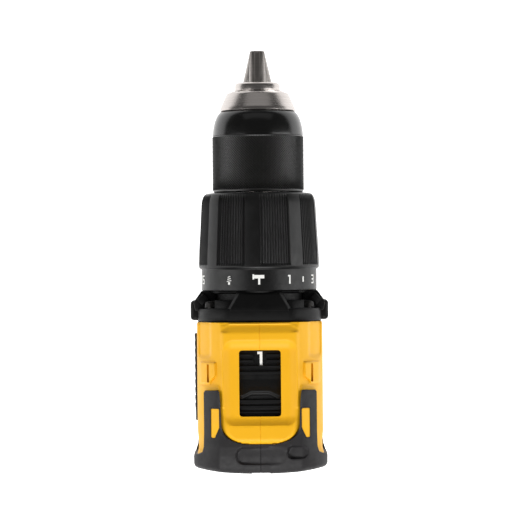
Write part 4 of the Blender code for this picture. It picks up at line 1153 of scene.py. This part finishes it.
class DRILL_OT_pack(bpy.types.Operator):
    """Battery pack case, cover and latch"""

    bl_idname = "drill.pack"
    bl_label = "Battery pack"

    def execute(self, context):
        def outline(inset, radius):
            w, a, b = 24.5 - inset, -79.4 + inset, 13.0 - inset
            return rounded([(w, a), (w, b), (-w, b), (-w, a)], radius, 8)

        case = slab("case", outline(0.0, 8.0), "Z", 0.0, 46.0, 1.4, 4)
        for side in (-1, 1):
            for k in range(3):
                z = 14.0 + 7.0 * k
                groove = block("groove", beside(side, 24.0, 26.0), (-66.0, 0.0),
                               (z, z + 1.6), 0.4, 2)
                case = cut(case, groove)
            pad = block("pad", beside(side, 23.9, 26.0), (-66.0, 0.0), (36.0, 41.0), 0.4)
            case = cut(case, pad)
        case = cut(case, slab("room", outline(WALL, 6.0), "Z", WALL, 50.0))
        finish(case, "pack_case_shell", "nylon_black", "pack", ["pack_case"])
        cover = slab("cover", outline(0.0, 8.0), "Z", 46.3, 57.7, 1.5, 4)
        cover = cut(cover, slab("room", outline(WALL, 6.0), "Z", 40.0, 55.4))
        rail = slab("rail", tee(14.6, 17.6, 56.7, 63.6, 66.3), "Y", -58.2, -1.5, 0.35, 2)
        cover = fuse(cover, rail)
        for k in range(4):
            x = -9.0 + 6.0 * k
            cover = cut(cover, block("slot", (x - 0.9, x + 0.9), (-60.0, -47.5), (61.0, 70.0)))
        cover = cut(cover, block("well", (-7.5, 7.5), (-0.7, 8.9), (50.0, 62.0), 0.6, 2))
        cover = cut(cover, block("notch", (-7.5, 7.5), (8.0, 20.0), (40.0, 55.2), 0.6, 2))
        finish(cover, "pack_cover_shell", "nylon_black", "pack",
               ["pack_cover"])
        latch = block("latch", (-7.0, 7.0), (-0.2, 8.4), (50.6, 62.8), 0.7, 3)
        pad = block("pad", (-7.0, 7.0), (7.0, 12.7), (50.6, 54.6), 0.8, 3)
        latch = fuse(latch, pad)
        for k in range(3):
            z = 51.4 + 0.9 * k
            latch = cut(latch, block("grip", (-5.5, 5.5), (12.4, 14.0), (z, z + 0.4)))
        finish(latch, "pack_latch", "rubber", "latch", ["latch_button"])
        return {"FINISHED"}


class DRILL_OT_inner(bpy.types.Operator):
    """Finishes for the inner pieces that stay as the solid model has them"""

    bl_idname = "drill.inner"
    bl_label = "Inner pieces"

    def execute(self, context):
        finishes = {
            "gear_steel": ["carrier_1", "carrier_2", "ring_gear_1", "ring_gear_2", "planet_1a",
                           "planet_1b", "planet_1c", "planet_2a", "planet_2b", "planet_2c"],
            "steel": ["spindle", "shift_wire", "clutch_spring", "motor_rear_bearing",
                      "motor_front_bearing", "spindle_bearing"],
            "oxide": ["rotor", "chuck_nut", "fixed_ratchet"],
            "copper": ["motor_stator", "tool_terminals"],
            "board": ["control_board", "pack_board"],
            "nylon_black": ["switch_module", "motor_mount_plate", "fan", "clutch_nut"],
            "sleeve": ["cell_1", "cell_2", "cell_3", "cell_4"],
        }
        for key, names in finishes.items():
            for name in names:
                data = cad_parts[name].data
                data.materials.clear()
                data.materials.append(MATERIALS[key])
        return {"FINISHED"}


STEPS = ("stage", "chuck", "collar", "gear_case", "shell", "rubber", "controls", "pack", "inner")


class DRILL_PT_panel(bpy.types.Panel):
    """Sidebar list of the drill's pieces"""

    bl_label = "Drill"
    bl_space_type = "VIEW_3D"
    bl_region_type = "UI"
    bl_category = "Drill"

    def draw(self, context):
        for key in DrillSettings.__annotations__:
            self.layout.prop(context.scene.drill_settings, key)
        for step in STEPS:
            self.layout.operator("drill." + step)


CLASSES = (DrillSettings, DRILL_OT_stage, DRILL_OT_chuck, DRILL_OT_collar, DRILL_OT_gear_case,
           DRILL_OT_shell, DRILL_OT_rubber, DRILL_OT_controls, DRILL_OT_pack, DRILL_OT_inner,
           DRILL_PT_panel)


def register():
    for cls in CLASSES:
        bpy.utils.register_class(cls)
    bpy.types.Scene.drill_settings = bpy.props.PointerProperty(type=DrillSettings)


def unregister():
    del bpy.types.Scene.drill_settings
    for cls in reversed(CLASSES):
        bpy.utils.unregister_class(cls)


def main():
    register()
    make_materials()
    for step in STEPS:
        getattr(bpy.ops.drill, step)()
    bpy.context.view_layer.update()


if __name__ == "__main__":
    main()
